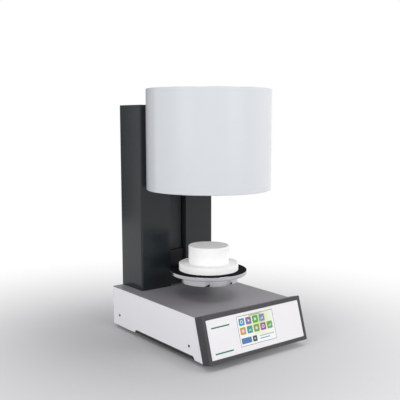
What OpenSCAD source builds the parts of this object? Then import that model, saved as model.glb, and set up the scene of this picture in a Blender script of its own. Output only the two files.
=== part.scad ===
// Dental laboratory furnace with a bottom-loading lift table.
// Millimetres, +Z up. The origin is on the table top, under the middle of the whole furnace.
// The operator stands on the -Y side. X is across the furnace.

/* [Base] */
// Width of the base over its side panels
base_w = 285.4; // [260:0.1:300]
// Depth of the top plate, from the bezel to the rear panel
base_d = 367; // [350:1:420]
// Height of the top plate above the table
base_h = 110; // [106:1:140]
// Height of the rubber feet
foot_h = 9; // [7:0.5:12]
// Radius of a rubber foot
foot_r = 13; // [10:0.5:18]
// Distance of a foot's middle from the tray's edges
foot_inset = 28; // [22:1:45]
// Thickness of the folded sheet metal
sheet_t = 1.5; // [1:0.1:2]
// Thickness of the top plate
plate_t = 2; // [1.5:0.5:4]
// Height of the cut-out in the lower edge of a side panel
side_cut_h = 8; // [4:1:14]
// Length of a side panel's front foot behind the top plate's front edge
side_cut_front = 11; // [5:1:40]
// Length of a side panel's rear foot
side_cut_rear = 103; // [60:1:130]
// Length of the slope at each end of the cut-out
side_cut_slope = 7; // [3:1:12]
// Height of the side screws above the table
side_screw_z = 37; // [30:1:60]
// Distance of the front side screw behind the top plate's front edge
side_screw_front = 30.6; // [20:0.2:80]
// Distance of the rear side screw in front of the rear panel
side_screw_rear = 31; // [20:1:80]
// Height of the tray's folded walls above the table
tray_wall_h = 58; // [50:1:80]

/* [Front bezel] */
// Width of the bezel
bezel_w = 300; // [296:1:330]
// Thickness of the bezel, square to its face
bezel_t = 26.4; // [22:0.2:34]
// Lean of the bezel's face from upright, in degrees
bezel_tilt = 16.8; // [12:0.1:20]
// Height of the face's lower edge above the table
bezel_foot = 16.3; // [14:0.1:18]
// Rise of the bezel above the top plate at its rear edge
bezel_rise = 1.6; // [0.5:0.1:3]
// Wall of the bezel at its two sides
bezel_side_t = 12; // [9:0.5:16]
// Wall of the bezel at its top and bottom
bezel_edge_t = 5; // [4:0.5:7]
// Radius of the bezel's corners
bezel_r = 3; // [1:0.5:5]
// Web of the bezel behind the fascia
bezel_web_t = 3; // [2:0.5:5]
// Width of the bezel showing round the fascia at its sides
fascia_side = 8.8; // [6:0.2:14]
// Height of the bezel showing above the fascia
fascia_top = 10.2; // [8:0.2:14]
// Height of the bezel showing below the fascia
fascia_foot = 9.3; // [8:0.1:14]
// Thickness of the fascia panel
fascia_t = 3; // [2:0.5:4]
// Width of the screen window
window_w = 110.4; // [96:0.2:120]
// Height of the screen window
window_h = 68.9; // [60:0.1:70]
// Distance of the window's upper edge from the top of the bezel's face
window_down = 16.9; // [16:0.1:19]
// Border of the display module outside the window
display_border = 5; // [3:0.5:7]
// Thickness of the display module
display_t = 5; // [4:0.5:6]

/* [Column] */
// Width of the column
column_w = 226.8; // [216:0.2:250]
// Depth of the column
column_d = 96.5; // [90:0.5:120]
// Height of the column above the top plate
column_h = 471; // [440:1:500]
// Radius of the column's upright front corners
column_r = 5; // [3:0.5:10]
// Thickness of the column's covers
cover_t = 2; // [1.5:0.5:3]
// Width of the channel in the column's front
channel_w = 50.6; // [44:0.2:54]
// Depth of the channel
channel_d = 21.7; // [18:0.1:24]
// Width of the slot in each side wall of the channel
slot_w = 5; // [4:0.5:7]
// Width of a louvre in the rear cover
louvre_w = 60; // [40:1:80]
// Pitch of the louvres
louvre_pitch = 9; // [7:1:14]

/* [Lift] */
// Height of the closing seal above the top plate, with the table down
seal_z = 66; // [62:1:90]
// Radius of a guide rod
rod_r = 6; // [4:0.5:7]
// Distance of a guide rod from the middle
rod_x = 42; // [38:1:50]
// Depth of the guide rods and the screw behind the column's front face
drive_depth = 48; // [46:1:56]
// Radius of the lead screw
screw_r = 6; // [5:0.5:7]
// Height of the carriage
carriage_h = 50; // [44:1:60]
// Height of the carriage's lower edge above the top plate, with the table down
carriage_z = 45; // [44:1:60]
// Depth of the arm's block behind the column's front face
block_depth = 9; // [6:0.5:10]
// Width of the arm under the table
arm_w = 34; // [26:1:40]
// Thickness of the arm
arm_t = 10; // [8:0.5:12]

/* [Table] */
// Radius of the silver dish
dish_r = 94.5; // [88:0.5:105]
// Height of the dish's rim
rim_h = 9.8; // [8:0.1:14]
// Radius of the notched skirt under the dish
skirt_r = 72.2; // [64:0.2:80]
// Height of the skirt below the dish
skirt_h = 18.3; // [17:0.1:24]
// Thickness of the dish's sheet
dish_t = 1.5; // [1:0.1:2]
// Width of a notch at the skirt's lower edge
notch_w = 10; // [6:0.5:14]
// Height of a notch
notch_h = 7; // [4:0.5:9]
// Angle from one notch to the next
notch_step = 50; // [48:1:50]
// Radius of the pedestal's wide disc
disc_r = 73.8; // [68:0.2:80]
// Height of the pedestal's wide disc
disc_h = 17.4; // [12:0.2:22]
// Radius of the pedestal's plug
plug_r = 49.9; // [40:0.1:56]
// Height of the pedestal's plug
plug_h = 43.5; // [30:0.5:60]

/* [Head] */
// Radius of the head's white shell
head_r = 152.1; // [148:0.1:170]
// Height of the head
head_h = 241.3; // [232:0.1:280]
// Height of the head's lower edge above the top plate
head_z = 266.5; // [250:0.5:280]
// Distance of the head's axis in front of the column's face
head_reach = 129.7; // [126:0.1:140]
// Thickness of the head's shell
shell_t = 1.5; // [1:0.1:2]
// Radius of the shell's rolled edges
shell_edge_r = 4; // [2:0.5:8]
// Width of the shell's inward lips
shell_lip = 14; // [8:1:20]
// Radius of the heating chamber
chamber_r = 62; // [60:0.5:70]
// Height of the heating chamber above its mouth
chamber_h = 130; // [120:1:140]
// Thickness of the insulation's roof
roof_t = 49; // [40:1:56]
// Gap round the pedestal's disc in the mouth
mouth_gap = 2.2; // [1.5:0.1:4]
// Distance of the heating elements from the chamber's axis
element_ring = 50; // [49:0.5:54]
// Distance between the two legs of an element
element_pitch = 25; // [18:1:30]
// Radius of an element's hot part
element_r = 1.5; // [1.2:0.1:2]
// Radius of an element's thick cold ends
terminal_r = 3; // [2.5:0.1:4]

/* [Rear panel] */
// Side of the square cooling fan
fan_w = 80; // [70:1:82]
// Depth of the cooling fan
fan_d = 25; // [20:1:38]
// Distance of the fan's middle from the base's side
fan_inset = 60.7; // [56.7:0.5:64.7]
// Distance of the mains inlet's middle from the base's other side
inlet_inset = 80.7; // [72.7:0.5:87.7]
// Distance of the power switch's middle from that side
switch_inset = 34.7; // [26.7:0.5:40.7]
// Height of the mains inlet and the power switch above the table
inlet_z = 62; // [54:1:74]
// Furthest reach of the mains fittings behind the rear panel
rear_proud = 3; // [2:0.5:6]

/* [Electrics] */
// Outer radius of the mains transformer
trafo_r = 56; // [45:1:58]
// Height of the mains transformer
trafo_h = 50; // [40:1:60]
// Width of the power module's heat sink
sink_w = 70; // [56:1:90]
// Length of the power module's heat sink
sink_len = 90; // [70:1:110]
// Length of the control board
board_len = 150; // [120:1:170]
// Width of the control board
board_w = 100; // [80:1:110]
// Side of the square lift motor
motor_w = 42; // [36:1:50]
// Height of the lift motor
motor_h = 48; // [34:1:54]

/* [Clearances] */
// Gap between pieces that are seated or fitted together
seat_gap = 0.3; // [0.1:0.05:0.5]
// Radial clearance of running fits
run_gap = 0.05; // [0.02:0.01:0.1]
// Clearance of moving pieces beside fixed ones
pass_gap = 1; // [0.8:0.1:1.5]

/* [Hidden] */
$fn = 96;

// How far a cut runs past the face that it opens
over = 1;

// Colours as photographed
white_paint = "#e4e5e8";
grey_plate = "#77767a";
bezel_grey = "#504e51";
column_grey = "#383c3e";
fibre_white = "#f6f6f4";
silver = "#b4b5b9";
seal_black = "#101113";
steel = "#9a9ea2";
dark_steel = "#3a3d40";
plastic_black = "#1c1d1f";

// Places along Y: the bezel leans back from its lower edge, which is the furnace's front
bezel_len = (base_h + bezel_rise - bezel_foot + bezel_t * sin(bezel_tilt)) / cos(bezel_tilt);
bezel_run = bezel_len * sin(bezel_tilt) + bezel_t * cos(bezel_tilt);
front_y = -(bezel_run + base_d + rear_proud) / 2;
plate_y = front_y + bezel_run;
rear_y = plate_y + base_d;
column_y = rear_y - column_d;
head_y = column_y - head_reach;
drive_y = column_y + drive_depth;

// Y of the bezel's rear face at a height above the table
function bezel_back(z) = plate_y - (base_h + bezel_rise - z) * tan(bezel_tilt);

// Base
tray_w = base_w - 2 * (sheet_t + seat_gap);
tray_floor = foot_h + sheet_t;
flange_w = 12;
screw_hole_r = 2;
screw_head_r = 2.6;
screw_head_h = 1.2;
rear_panel_w = tray_w;
fan_x = base_w / 2 - fan_inset;
inlet_x = inlet_inset - base_w / 2;
switch_x = switch_inset - base_w / 2;

// Front bezel, in the face's own coordinates: X across, Y up the face, Z out of it
fascia_w = bezel_w - 2 * fascia_side;
fascia_h = bezel_len - fascia_top - fascia_foot;
fascia_mid = fascia_foot + fascia_h / 2;
window_mid = bezel_len - window_down - window_h / 2;
window_t = fascia_t - 0.2;
display_w = window_w + 2 * display_border;
display_h = window_h + 2 * display_border;
clamp_t = 2;
clamp_wing = 16;
fit_gap = 0.5;
clamp_z = -fascia_t - 2 * seat_gap - display_t;
boss_r = 4;
boss_bore = 1.4;
boss_rear = 8;
rib_t = 2;
rib_pitch = 12;

// Column
cap_t = cover_t;
slot_y = channel_d - slot_w;
frame_t = 4;
frame_w = column_w - 2 * cover_t - 22;
frame_front = cover_t + seat_gap + 2.5;
frame_rear = column_d - cover_t - 4;
frame_top = column_h - 17;
upright_t = 3;
upright_flange = 44;
upright_lip = 20;
cap_skirt_h = 10;
cap_skirt_rear = 14;
louvre_x = louvre_w / 2 + 6;
louvre_z = column_h * 0.62;
louvre_n = 12;
louvre_h = 4;

// Lift: the table rises until its seal meets the head's lower plate
plate_recess = shell_t + seat_gap;
lift_travel = head_z + plate_recess - seat_gap - seal_z;
slot_low = carriage_z - 6;
slot_high = carriage_z + carriage_h + lift_travel + 6;
bush_r = rod_r + 4.5;
bush_len = 18;
journal_r = screw_r - 2;
bearing_r = 11;
bearing_h = 7;
bridge_z = 27;
bridge_t = 3;
web_t = slot_w - 2 * pass_gap;
web_x = channel_w / 2 + cover_t + pass_gap;
carriage_w = 2 * (rod_x + bush_r + 9.5);
carriage_d = 24;
nut_r = screw_r + 3;
nut_flange_r = nut_r + 6;
nut_flange_t = 4;
arm_drop = 4;
arm_top = seal_z - rim_h - arm_drop;
block_low = arm_top - arm_t - 4;
pad_r = 26;
dish_screw_r = 2;
dish_screw_ring = 14;
lower_bearing_z = bridge_z - 2;
upper_bearing_z = frame_top - frame_t - 1.5;
nut_len = 30;
shaft_r = 2.5;
coupling_r = 10;
coupling_z = -7;
coupling_h = 26;
motor_top = -plate_t - 12;
bracket_t = 3;
bracket_foot = 12;
limit_len = 20;
limit_w = 8;
limit_h = 6;
limit_plate_w = 16;
limit_plate_t = 1.5;

// Head, in its own coordinates: Z from the head's lower edge
jacket_gap = 2.2;
jacket_t = 1.2;
jacket_r = head_reach - jacket_gap;
muffle_r = jacket_r - jacket_t - seat_gap;
mouth_r = disc_r + mouth_gap;
mouth_h = disc_h + 3;
bottom_plate_t = 2;
muffle_z = plate_recess + bottom_plate_t;
chamber_z = muffle_z + mouth_h;
roof_z = chamber_z + chamber_h;
roof_top = roof_z + roof_t;
ring_t = 2;
post_t = 3;
post_flange = 20;
post_x = sqrt(pow(head_r - shell_t - pass_gap, 2) - pow(head_reach - seat_gap, 2));
post_web = head_reach - seat_gap - post_t - sqrt(pow(jacket_r + pass_gap, 2) - pow(post_x - post_t, 2));
bolt_x = post_x - post_flange / 2;
bolt_rise = 30;
bolt_drop = 40;
element_n = 4;
element_low = 76;
element_top = roof_top + 20;
holder_h = 8;
holder_w = 16;
thermo_r = 3;
thermo_dip = 34;
thermo_collar_r = 8;
thermo_collar_h = 3;
thermo_head_r = 6;
thermo_head_h = 12;

// Electrics in the tray, each behind the control board
board_gap = 12;
board_t = 1.6;
board_edge = 5;
board_hole_r = 1.6;
spacer_h = 8;
spacer_r = 3;
spacer_bore = 1.25;
behind_board = plate_y + board_gap + board_w;
trafo_x = 70;
trafo_y = behind_board + 8 + trafo_r;
sink_x = -70;
sink_y = behind_board + 15 + sink_len / 2;
sink_h = 30;
fin_n = 9;
fin_t = 2;
sink_base = 5;
relay_w = 45;
relay_len = 58;
relay_plate = 3;
relay_block = 44;
relay_h = 22;
relay_hole = relay_len / 2 - 3.5;
terminal_block_r = 4;

// Parts that stand on the control board, and the distances between them
part_inset = 14;
part_gap = 4;
coil_w = 16;
coil_len = 20;
coil_h = 15;
can_r = 5;
can_h = 16;
chip_w = 18;
chip_len = 26;
chip_h = 2;
strip_len = 52;
strip_w = 9;
strip_h = 11;

// Fan
fan_z = tray_floor + 2 + fan_w / 2;
fan_hub_r = 19;
fan_bore_r = fan_w / 2 - 2;
fan_hole = fan_w / 2 - 4.25;
guard_t = 1.6;

// Mains fittings on the rear panel
inlet_body_w = 27;
inlet_body_h = 19.8;
switch_body_w = 22;
switch_body_h = 30;
socket_w = 24;
socket_h = 16.4;
socket_d = 16.5;
rocker_w = 18;
rocker_h = 26;
rocker_tilt = 9;
rocker_axis = 6;

// Places and shapes that several pieces share

module across(w) {
    rotate([90, 0, 90]) linear_extrude(w, center = true) children();
}

module rounded_rect(w, h, r) {
    square([w - 2 * r, h], center = true);
    square([w, h - 2 * r], center = true);
    for (sx = [-1, 1], sy = [-1, 1]) translate([sx * (w / 2 - r), sy * (h / 2 - r)]) circle(r);
}

module both_sides() {
    children();
    mirror([1, 0, 0]) children();
}

module on_face() {
    translate([0, front_y, bezel_foot]) rotate([90 - bezel_tilt, 0, 0]) children();
}

module on_plate() {
    translate([0, 0, base_h]) children();
}

module on_column() {
    translate([0, column_y, base_h]) children();
}

module on_drive() {
    translate([0, drive_y, base_h]) children();
}

module at_table() {
    translate([0, head_y, base_h + seal_z]) children();
}

module at_head() {
    translate([0, head_y, base_h + head_z]) children();
}

// Turns a shape drawn in X and Y, with Z outwards, to stand on the rear panel's outer face
module on_rear(x, z) {
    translate([x, rear_y, z]) rotate([90, 0, 180]) children();
}

module ring(outer, inner, h) {
    difference() {
        cylinder(r = outer, h = h);
        translate([0, 0, -over]) cylinder(r = inner, h = h + 2 * over);
    }
}

// The space that the column takes up, with a gap round it
module column_space(gap) {
    translate([-column_w / 2 - gap, column_y - gap, 0])
        cube([column_w + 2 * gap, column_d + 2 * gap, base_h + column_h + gap]);
}

// Base

module tray_profile(wall_h) {
    polygon([
        [rear_y - sheet_t - seat_gap, foot_h],
        [rear_y - sheet_t - seat_gap, wall_h],
        [bezel_back(wall_h) + seat_gap, wall_h],
        [bezel_back(foot_h + over) + seat_gap, foot_h]
    ]);
}

module at_feet() {
    for (sx = [-1, 1], y = [plate_y + foot_inset, rear_y - foot_inset])
        translate([sx * (tray_w / 2 - foot_inset), y, 0]) children();
}

module at_side_screws() {
    for (sx = [-1, 1], y = [plate_y + side_screw_front, rear_y - side_screw_rear])
        translate([sx * base_w / 2, y, side_screw_z]) rotate([0, sx * 90, 0]) children();
}

// Slots through the tray's floor that let cooling air in
module air_slots(n, pitch, len) {
    for (i = [0 : n - 1]) translate([(i - (n - 1) / 2) * pitch, 0, 0]) {
        translate([-1.5, -len / 2, 0]) cube([3, len, sheet_t + 2 * over]);
        for (s = [-1, 1]) translate([0, s * len / 2, 0]) cylinder(r = 1.5, h = sheet_t + 2 * over);
    }
}

module chassis_tray() {
    color(dark_steel) difference() {
        across(tray_w) tray_profile(tray_wall_h);
        translate([0, 0, sheet_t]) across(tray_w - 2 * sheet_t) polygon([
            [rear_y + over, foot_h],
            [rear_y + over, tray_wall_h],
            [front_y - over, tray_wall_h],
            [front_y - over, foot_h]
        ]);
        at_side_screws() cylinder(r = screw_hole_r, h = 20, center = true);
        at_feet() translate([0, 0, foot_h - over]) cylinder(r = screw_hole_r, h = sheet_t + 2 * over);
        translate([-tray_w / 4, plate_y + base_d * 0.56, foot_h - over]) air_slots(7, 9, 50);
    }
}

module side_profile() {
    top = base_h - plate_t;
    polygon([
        [rear_y, foot_h],
        [rear_y, top],
        [bezel_back(top) + seat_gap, top],
        [bezel_back(foot_h) + seat_gap, foot_h],
        [plate_y + side_cut_front, foot_h],
        [plate_y + side_cut_front + side_cut_slope, foot_h + side_cut_h],
        [rear_y - side_cut_rear - side_cut_slope, foot_h + side_cut_h],
        [rear_y - side_cut_rear, foot_h]
    ]);
}

// One white side panel, at +X: a sheet with its top and rear edges folded inwards
module side_panel() {
    color(white_paint) difference() {
        union() {
            translate([(base_w - sheet_t) / 2, 0, 0]) across(sheet_t) side_profile();
            translate([base_w / 2 - flange_w, plate_y + seat_gap, base_h - plate_t - sheet_t])
                cube([flange_w - sheet_t / 2, base_d - seat_gap - sheet_t, sheet_t]);
            translate([base_w / 2 - flange_w, rear_y - 2 * sheet_t, tray_wall_h + 2])
                cube([flange_w - sheet_t / 2, sheet_t, base_h - plate_t - tray_wall_h - 2]);
        }
        at_side_screws() cylinder(r = screw_hole_r, h = 20, center = true);
    }
}

module side_panel_left() {
    mirror([1, 0, 0]) side_panel();
}

module side_panel_right() {
    side_panel();
}

module top_plate() {
    color(grey_plate) difference() {
        translate([-base_w / 2, plate_y + seat_gap, base_h - plate_t])
            cube([base_w, base_d - seat_gap, plate_t]);
        translate([0, drive_y, base_h - plate_t - over])
            cylinder(r = coupling_r + 4, h = plate_t + 2 * over);
        for (sx = [-1, 1]) translate([sx * (rod_x + 28), drive_y, base_h - plate_t - over])
            cylinder(r = 12, h = plate_t + 2 * over);
    }
}

module rear_panel() {
    color(bezel_grey) difference() {
        translate([-rear_panel_w / 2, rear_y - sheet_t, foot_h])
            cube([rear_panel_w, sheet_t, base_h - plate_t - foot_h]);
        on_rear(fan_x, fan_z) {
            translate([0, 0, -5]) cylinder(r = fan_bore_r, h = 10);
            at_fan_holes() translate([0, 0, -5]) cylinder(r = screw_hole_r, h = 10);
        }
        on_rear(inlet_x, inlet_z) translate([0, 0, -5]) linear_extrude(10)
            rounded_rect(inlet_body_w + 2 * seat_gap, inlet_body_h + 2 * seat_gap, 3);
        on_rear(switch_x, inlet_z) translate([0, 0, -5]) linear_extrude(10)
            rounded_rect(switch_body_w + 2 * seat_gap, switch_body_h + 2 * seat_gap, 1);
    }
}

module rubber_feet() {
    color(plastic_black) at_feet() difference() {
        cylinder(r1 = foot_r - 1.5, r2 = foot_r, h = foot_h);
        translate([0, 0, -over]) cylinder(r = 4.5, h = foot_h / 2 + over);
    }
}

// A pan-head screw with a hexagon socket: its head stands on Z = 0 and its shank goes down
module pan_screw(head_r, head_h, shank_r, len) {
    difference() {
        union() {
            cylinder(r = head_r, h = head_h);
            translate([0, 0, -len]) cylinder(r = shank_r, h = len);
        }
        translate([0, 0, head_h / 3]) cylinder(r = head_r * 0.5, h = head_h, $fn = 6);
    }
}

module panel_screws() {
    color(plastic_black) at_side_screws()
        pan_screw(screw_head_r, screw_head_h, screw_hole_r - 0.2, 8);
}

// Front bezel and display

// Long bosses near the bezel's corners take the tray's screws
module at_corner_bosses() {
    x = bezel_w / 2 - bezel_side_t - boss_r - 3;
    y = bezel_edge_t + boss_r + 3;
    for (sx = [-1, 1], up = [y, bezel_len - y]) translate([sx * x, up, boss_rear - bezel_t]) children();
}

// Short bosses beside the display carry its clamp
module at_clamp_bosses() {
    x = (display_w + clamp_wing) / 2;
    y = display_h / 2 - 2 * boss_r;
    for (sx = [-1, 1], sy = [-1, 1]) translate([sx * x, window_mid + sy * y, clamp_z]) children();
}

module front_bezel() {
    hollow_d = bezel_t - fascia_t - bezel_web_t;
    rib_x = display_w / 2 + clamp_wing + 2 * rib_t;
    rib_len = bezel_len - 2 * bezel_edge_t + 2 * over;
    color(bezel_grey) on_face() difference() {
        union() {
            difference() {
                translate([0, bezel_len / 2, -bezel_t]) linear_extrude(bezel_t)
                    rounded_rect(bezel_w, bezel_len, bezel_r);
                translate([0, bezel_len / 2, -bezel_t - over]) linear_extrude(hollow_d + over)
                    square([bezel_w - 2 * bezel_side_t, bezel_len - 2 * bezel_edge_t], center = true);
            }
            at_corner_bosses() cylinder(r = boss_r, h = bezel_t - fascia_t - boss_rear);
            at_clamp_bosses() cylinder(r = boss_r, h = -fascia_t - clamp_z);
            // Ribs stiffen the web on both sides of the display
            for (sx = [-1, 1], i = [1 : 2])
                translate([sx * (rib_x + rib_pitch * i) - rib_t / 2, bezel_edge_t - over, -bezel_t / 2])
                    cube([rib_t, rib_len, hollow_d - bezel_t / 2 + over]);
        }
        translate([0, fascia_mid, -fascia_t]) linear_extrude(fascia_t + over)
            rounded_rect(fascia_w + 2 * seat_gap, fascia_h + 2 * seat_gap, 1.5);
        translate([0, window_mid, -bezel_t / 2])
            cube([display_w + 2 * fit_gap, display_h + 2 * fit_gap, bezel_t], center = true);
        at_corner_bosses() translate([0, 0, -over])
            cylinder(r = boss_bore, h = bezel_t - fascia_t - boss_rear);
        at_clamp_bosses() translate([0, 0, -over]) cylinder(r = boss_bore, h = -fascia_t - clamp_z);
        // The lower rear edge is cut back
        translate([0, 0, -bezel_t]) rotate([45, 0, 0]) cube([bezel_w + 2 * over, 4, 4], center = true);
    }
}

module fascia_panel() {
    color(white_paint) on_face() translate([0, 0, -fascia_t]) linear_extrude(fascia_t) difference() {
        translate([0, fascia_mid]) rounded_rect(fascia_w, fascia_h, 1.5);
        translate([0, window_mid]) rounded_rect(window_w, window_h, 1);
    }
}

module display_window() {
    color("#e9efe2") on_face() translate([0, window_mid, -fascia_t]) linear_extrude(window_t)
        rounded_rect(window_w - 0.8, window_h - 0.8, 0.8);
}

module display_panel() {
    color(plastic_black) on_face() translate([0, window_mid, -fascia_t - seat_gap - display_t]) {
        linear_extrude(display_t) rounded_rect(display_w, display_h, 1.5);
        // Connector and driver strip on the module's back
        translate([-display_w / 4, -display_h / 4, -2]) cube([display_w / 2, 12, 2]);
    }
}

module display_clamp() {
    color(steel) on_face() difference() {
        translate([0, window_mid, clamp_z - clamp_t]) linear_extrude(clamp_t) difference() {
            rounded_rect(display_w + 2 * clamp_wing, display_h, clamp_t);
            square([display_w - clamp_wing, display_h - clamp_wing], center = true);
        }
        at_clamp_bosses() translate([0, 0, -clamp_t - over])
            cylinder(r = screw_hole_r, h = clamp_t + over);
    }
}

// Electrics in the tray

module at_board() {
    translate([-tray_w / 2 + board_len / 2 + board_gap, plate_y + board_w / 2 + board_gap, tray_floor])
        children();
}

module board_holes() {
    for (sx = [-1, 1], sy = [-1, 1])
        translate([sx * (board_len / 2 - board_edge), sy * (board_w / 2 - board_edge), 0]) children();
}

module board_spacers() {
    color("#c9a24a") at_board() board_holes() difference() {
        cylinder(r = spacer_r, h = spacer_h, $fn = 6);
        translate([0, 0, spacer_h / 2]) cylinder(r = spacer_bore, h = spacer_h, $fn = 32);
    }
}

module control_board() {
    color("#1f6b3c") at_board() translate([0, 0, spacer_h]) {
        difference() {
            translate([-board_len / 2, -board_w / 2, 0]) cube([board_len, board_w, board_t]);
            board_holes() translate([0, 0, -over]) cylinder(r = board_hole_r, h = board_t + 2 * over);
        }
        // Relays, capacitors, chips and the terminal strips
        left = -board_len / 2 + part_inset;
        front = -board_w / 2 + part_inset;
        for (i = [0 : 2]) translate([left + i * (coil_w + part_gap), front, board_t])
            cube([coil_w, coil_len, coil_h]);
        for (i = [0 : 3]) translate([3 * part_gap + i * (2 * can_r + part_gap), front + part_gap, board_t])
            cylinder(r = can_r, h = can_h);
        translate([-chip_w - part_gap, 0, board_t]) cube([chip_w, chip_w, chip_h]);
        translate([3 * part_gap, 0, board_t]) cube([chip_w * 0.7, chip_len, chip_h]);
        for (i = [0 : 1]) translate([left + i * (strip_len + part_gap), -front, board_t])
            cube([strip_len, strip_w, strip_h]);
    }
}

module mains_transformer() {
    color("#c98a2b") translate([trafo_x, trafo_y, tray_floor + seat_gap]) rotate_extrude() {
        hole_r = trafo_r * 0.34;
        corner = 9;
        translate([(trafo_r + hole_r) / 2, trafo_h / 2]) rounded_rect(trafo_r - hole_r, trafo_h, corner);
    }
}

module transformer_clamp() {
    dish = trafo_r * 0.7;
    color(steel) translate([trafo_x, trafo_y, tray_floor]) {
        cylinder(r = 4, h = trafo_h + 8);
        translate([0, 0, trafo_h + 2 * seat_gap]) cylinder(r1 = dish, r2 = dish - 4, h = 2);
        translate([0, 0, trafo_h + 2 * seat_gap + 2]) cylinder(r = 7.5, h = 5, $fn = 6);
    }
}

module heat_sink() {
    fin_pitch = (sink_w - fin_t) / (fin_n - 1);
    color("#a5a9ad") translate([sink_x, sink_y, tray_floor]) rotate([90, 0, 0])
        linear_extrude(sink_len, center = true) {
            translate([-sink_w / 2, sink_h - sink_base]) square([sink_w, sink_base]);
            for (i = [0 : fin_n - 1])
                translate([-sink_w / 2 + i * fin_pitch, 0]) square([fin_t, sink_h - sink_base + over]);
        }
}

module power_relay() {
    color("#d8d4c6") translate([sink_x, sink_y, tray_floor + sink_h]) difference() {
        union() {
            translate([-relay_w / 2, -relay_len / 2, 0]) cube([relay_w, relay_len, relay_plate]);
            translate([-relay_w / 2, -relay_block / 2, 0]) cube([relay_w, relay_block, relay_h]);
            for (sx = [-1, 1], sy = [-1, 1])
                translate([sx * relay_w * 0.29, sy * relay_block * 0.34, relay_h])
                    cylinder(r = terminal_block_r, h = relay_plate);
        }
        for (sy = [-1, 1]) translate([0, sy * relay_hole, -over])
            cylinder(r = screw_hole_r, h = relay_plate + 2 * over);
    }
}

// Mains fittings

module mains_inlet() {
    color(plastic_black) on_rear(inlet_x, inlet_z) difference() {
        union() {
            linear_extrude(rear_proud) rounded_rect(50, 24, 4);
            translate([0, 0, -22]) linear_extrude(22) rounded_rect(inlet_body_w, inlet_body_h, 3);
        }
        translate([0, 0, rear_proud - socket_d]) linear_extrude(socket_d + over) polygon([
            [-socket_w / 2, -socket_h / 2],
            [socket_w / 2, -socket_h / 2],
            [socket_w / 2, socket_h / 2 - 5],
            [socket_w / 2 - 5, socket_h / 2],
            [-socket_w / 2 + 5, socket_h / 2],
            [-socket_w / 2, socket_h / 2 - 5]
        ]);
        for (sx = [-1, 1]) translate([sx * 20, 0, -over]) cylinder(r = 1.75, h = rear_proud + 2 * over);
        at_pins() translate([-2 - run_gap, -1 - run_gap, -23]) cube([4 + 2 * run_gap, 2 + 2 * run_gap, 30]);
    }
}

module at_pins() {
    translate([-7, -1.5, 0]) children();
    translate([7, -1.5, 0]) children();
    translate([0, 2.5, 0]) children();
}

module inlet_pins() {
    color("#c8c3b0") on_rear(inlet_x, inlet_z) at_pins()
        translate([-2, -1, -28]) cube([4, 2, 28 + rear_proud - 5.6]);
}

module power_switch_body() {
    color(plastic_black) on_rear(switch_x, inlet_z) difference() {
        union() {
            linear_extrude(1.5) rounded_rect(switch_body_w + 4, switch_body_h + 3, 1.5);
            translate([0, 0, -20]) linear_extrude(20) rounded_rect(switch_body_w, switch_body_h, 1);
            for (sx = [-1, 1]) translate([sx * 5, 0, -27]) cube([1, 6.3, 14.2], center = true);
        }
        translate([0, 0, -7]) cube([rocker_w + 2 * seat_gap, rocker_h + 2, 20], center = true);
        translate([0, 0, -rocker_axis]) rotate([0, 90, 0])
            cylinder(r = 1.5 + run_gap, h = rocker_w + 3, center = true);
    }
}

// The rocker lies tilted, with one end pressed in
module power_rocker() {
    color("#26272a") on_rear(switch_x, inlet_z)
    translate([0, 0, -rocker_axis]) rotate([rocker_tilt, 0, 0]) {
        rotate([0, 90, 0]) cylinder(r = 1.5, h = rocker_w + 2, center = true);
        rotate([90, 0, 90]) linear_extrude(rocker_w, center = true) {
            polygon([
                [-rocker_h / 2 + 1, 5],
                [-rocker_h / 2 + 1, 1],
                [-4, -5],
                [4, -5],
                [rocker_h / 2 - 1, 1],
                [rocker_h / 2 - 1, 5],
                [0, 7]
            ]);
        }
    }
}

module at_fan_holes() {
    for (sx = [-1, 1], sy = [-1, 1])
        translate([sx * fan_hole, sy * fan_hole, 0]) children();
}

// Fan coordinates: Z runs outwards, from the fan's inner face at -fan_d to the rear panel
module at_fan() {
    on_rear(fan_x, fan_z) translate([0, 0, -sheet_t - fan_d]) children();
}

module fan_frame() {
    color(plastic_black) at_fan() difference() {
        union() {
            difference() {
                linear_extrude(fan_d) rounded_rect(fan_w, fan_w, 4);
                translate([0, 0, -over]) cylinder(r = fan_bore_r, h = fan_d + 2 * over);
                // The frame is drawn in between its two flanges
                difference() {
                    translate([0, 0, 4]) linear_extrude(fan_d - 8) square(fan_w + 2, center = true);
                    translate([0, 0, 3]) cylinder(r = fan_bore_r + 1.8, h = fan_d - 6);
                }
            }
            cylinder(r = fan_hub_r - 1, h = 3);
            for (a = [30 : 120 : 270]) rotate([0, 0, a]) translate([0, -2, 0]) cube([fan_bore_r + 1, 4, 3]);
            cylinder(r = 4, h = fan_d - 9);
        }
        at_fan_holes() translate([0, 0, -over]) cylinder(r = 2.2, h = fan_d + 2 * over);
        translate([0, 0, 3]) cylinder(r = 1.5 + run_gap, h = fan_d);
    }
}

module fan_rotor() {
    blade_r = fan_bore_r - pass_gap;
    color("#2b2c2f") at_fan() {
        difference() {
            translate([0, 0, 4]) cylinder(r = fan_hub_r, h = fan_d - 6);
            translate([0, 0, 3]) cylinder(r = fan_hub_r - 2, h = fan_d - 7);
        }
        translate([0, 0, 5]) cylinder(r = 1.5, h = fan_d - 8);
        // Seven pitched blades, trimmed to the bore
        for (a = [0 : 360 / 7 : 359]) rotate([0, 0, a]) intersection() {
            translate([fan_hub_r - 1, 0, fan_d / 2 + 1]) rotate([52, 0, 0])
                translate([0, -11, -0.8]) cube([blade_r, 22, 1.6]);
            translate([0, 0, 5]) ring(blade_r, fan_hub_r - 1, fan_d - 8);
        }
    }
}

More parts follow.
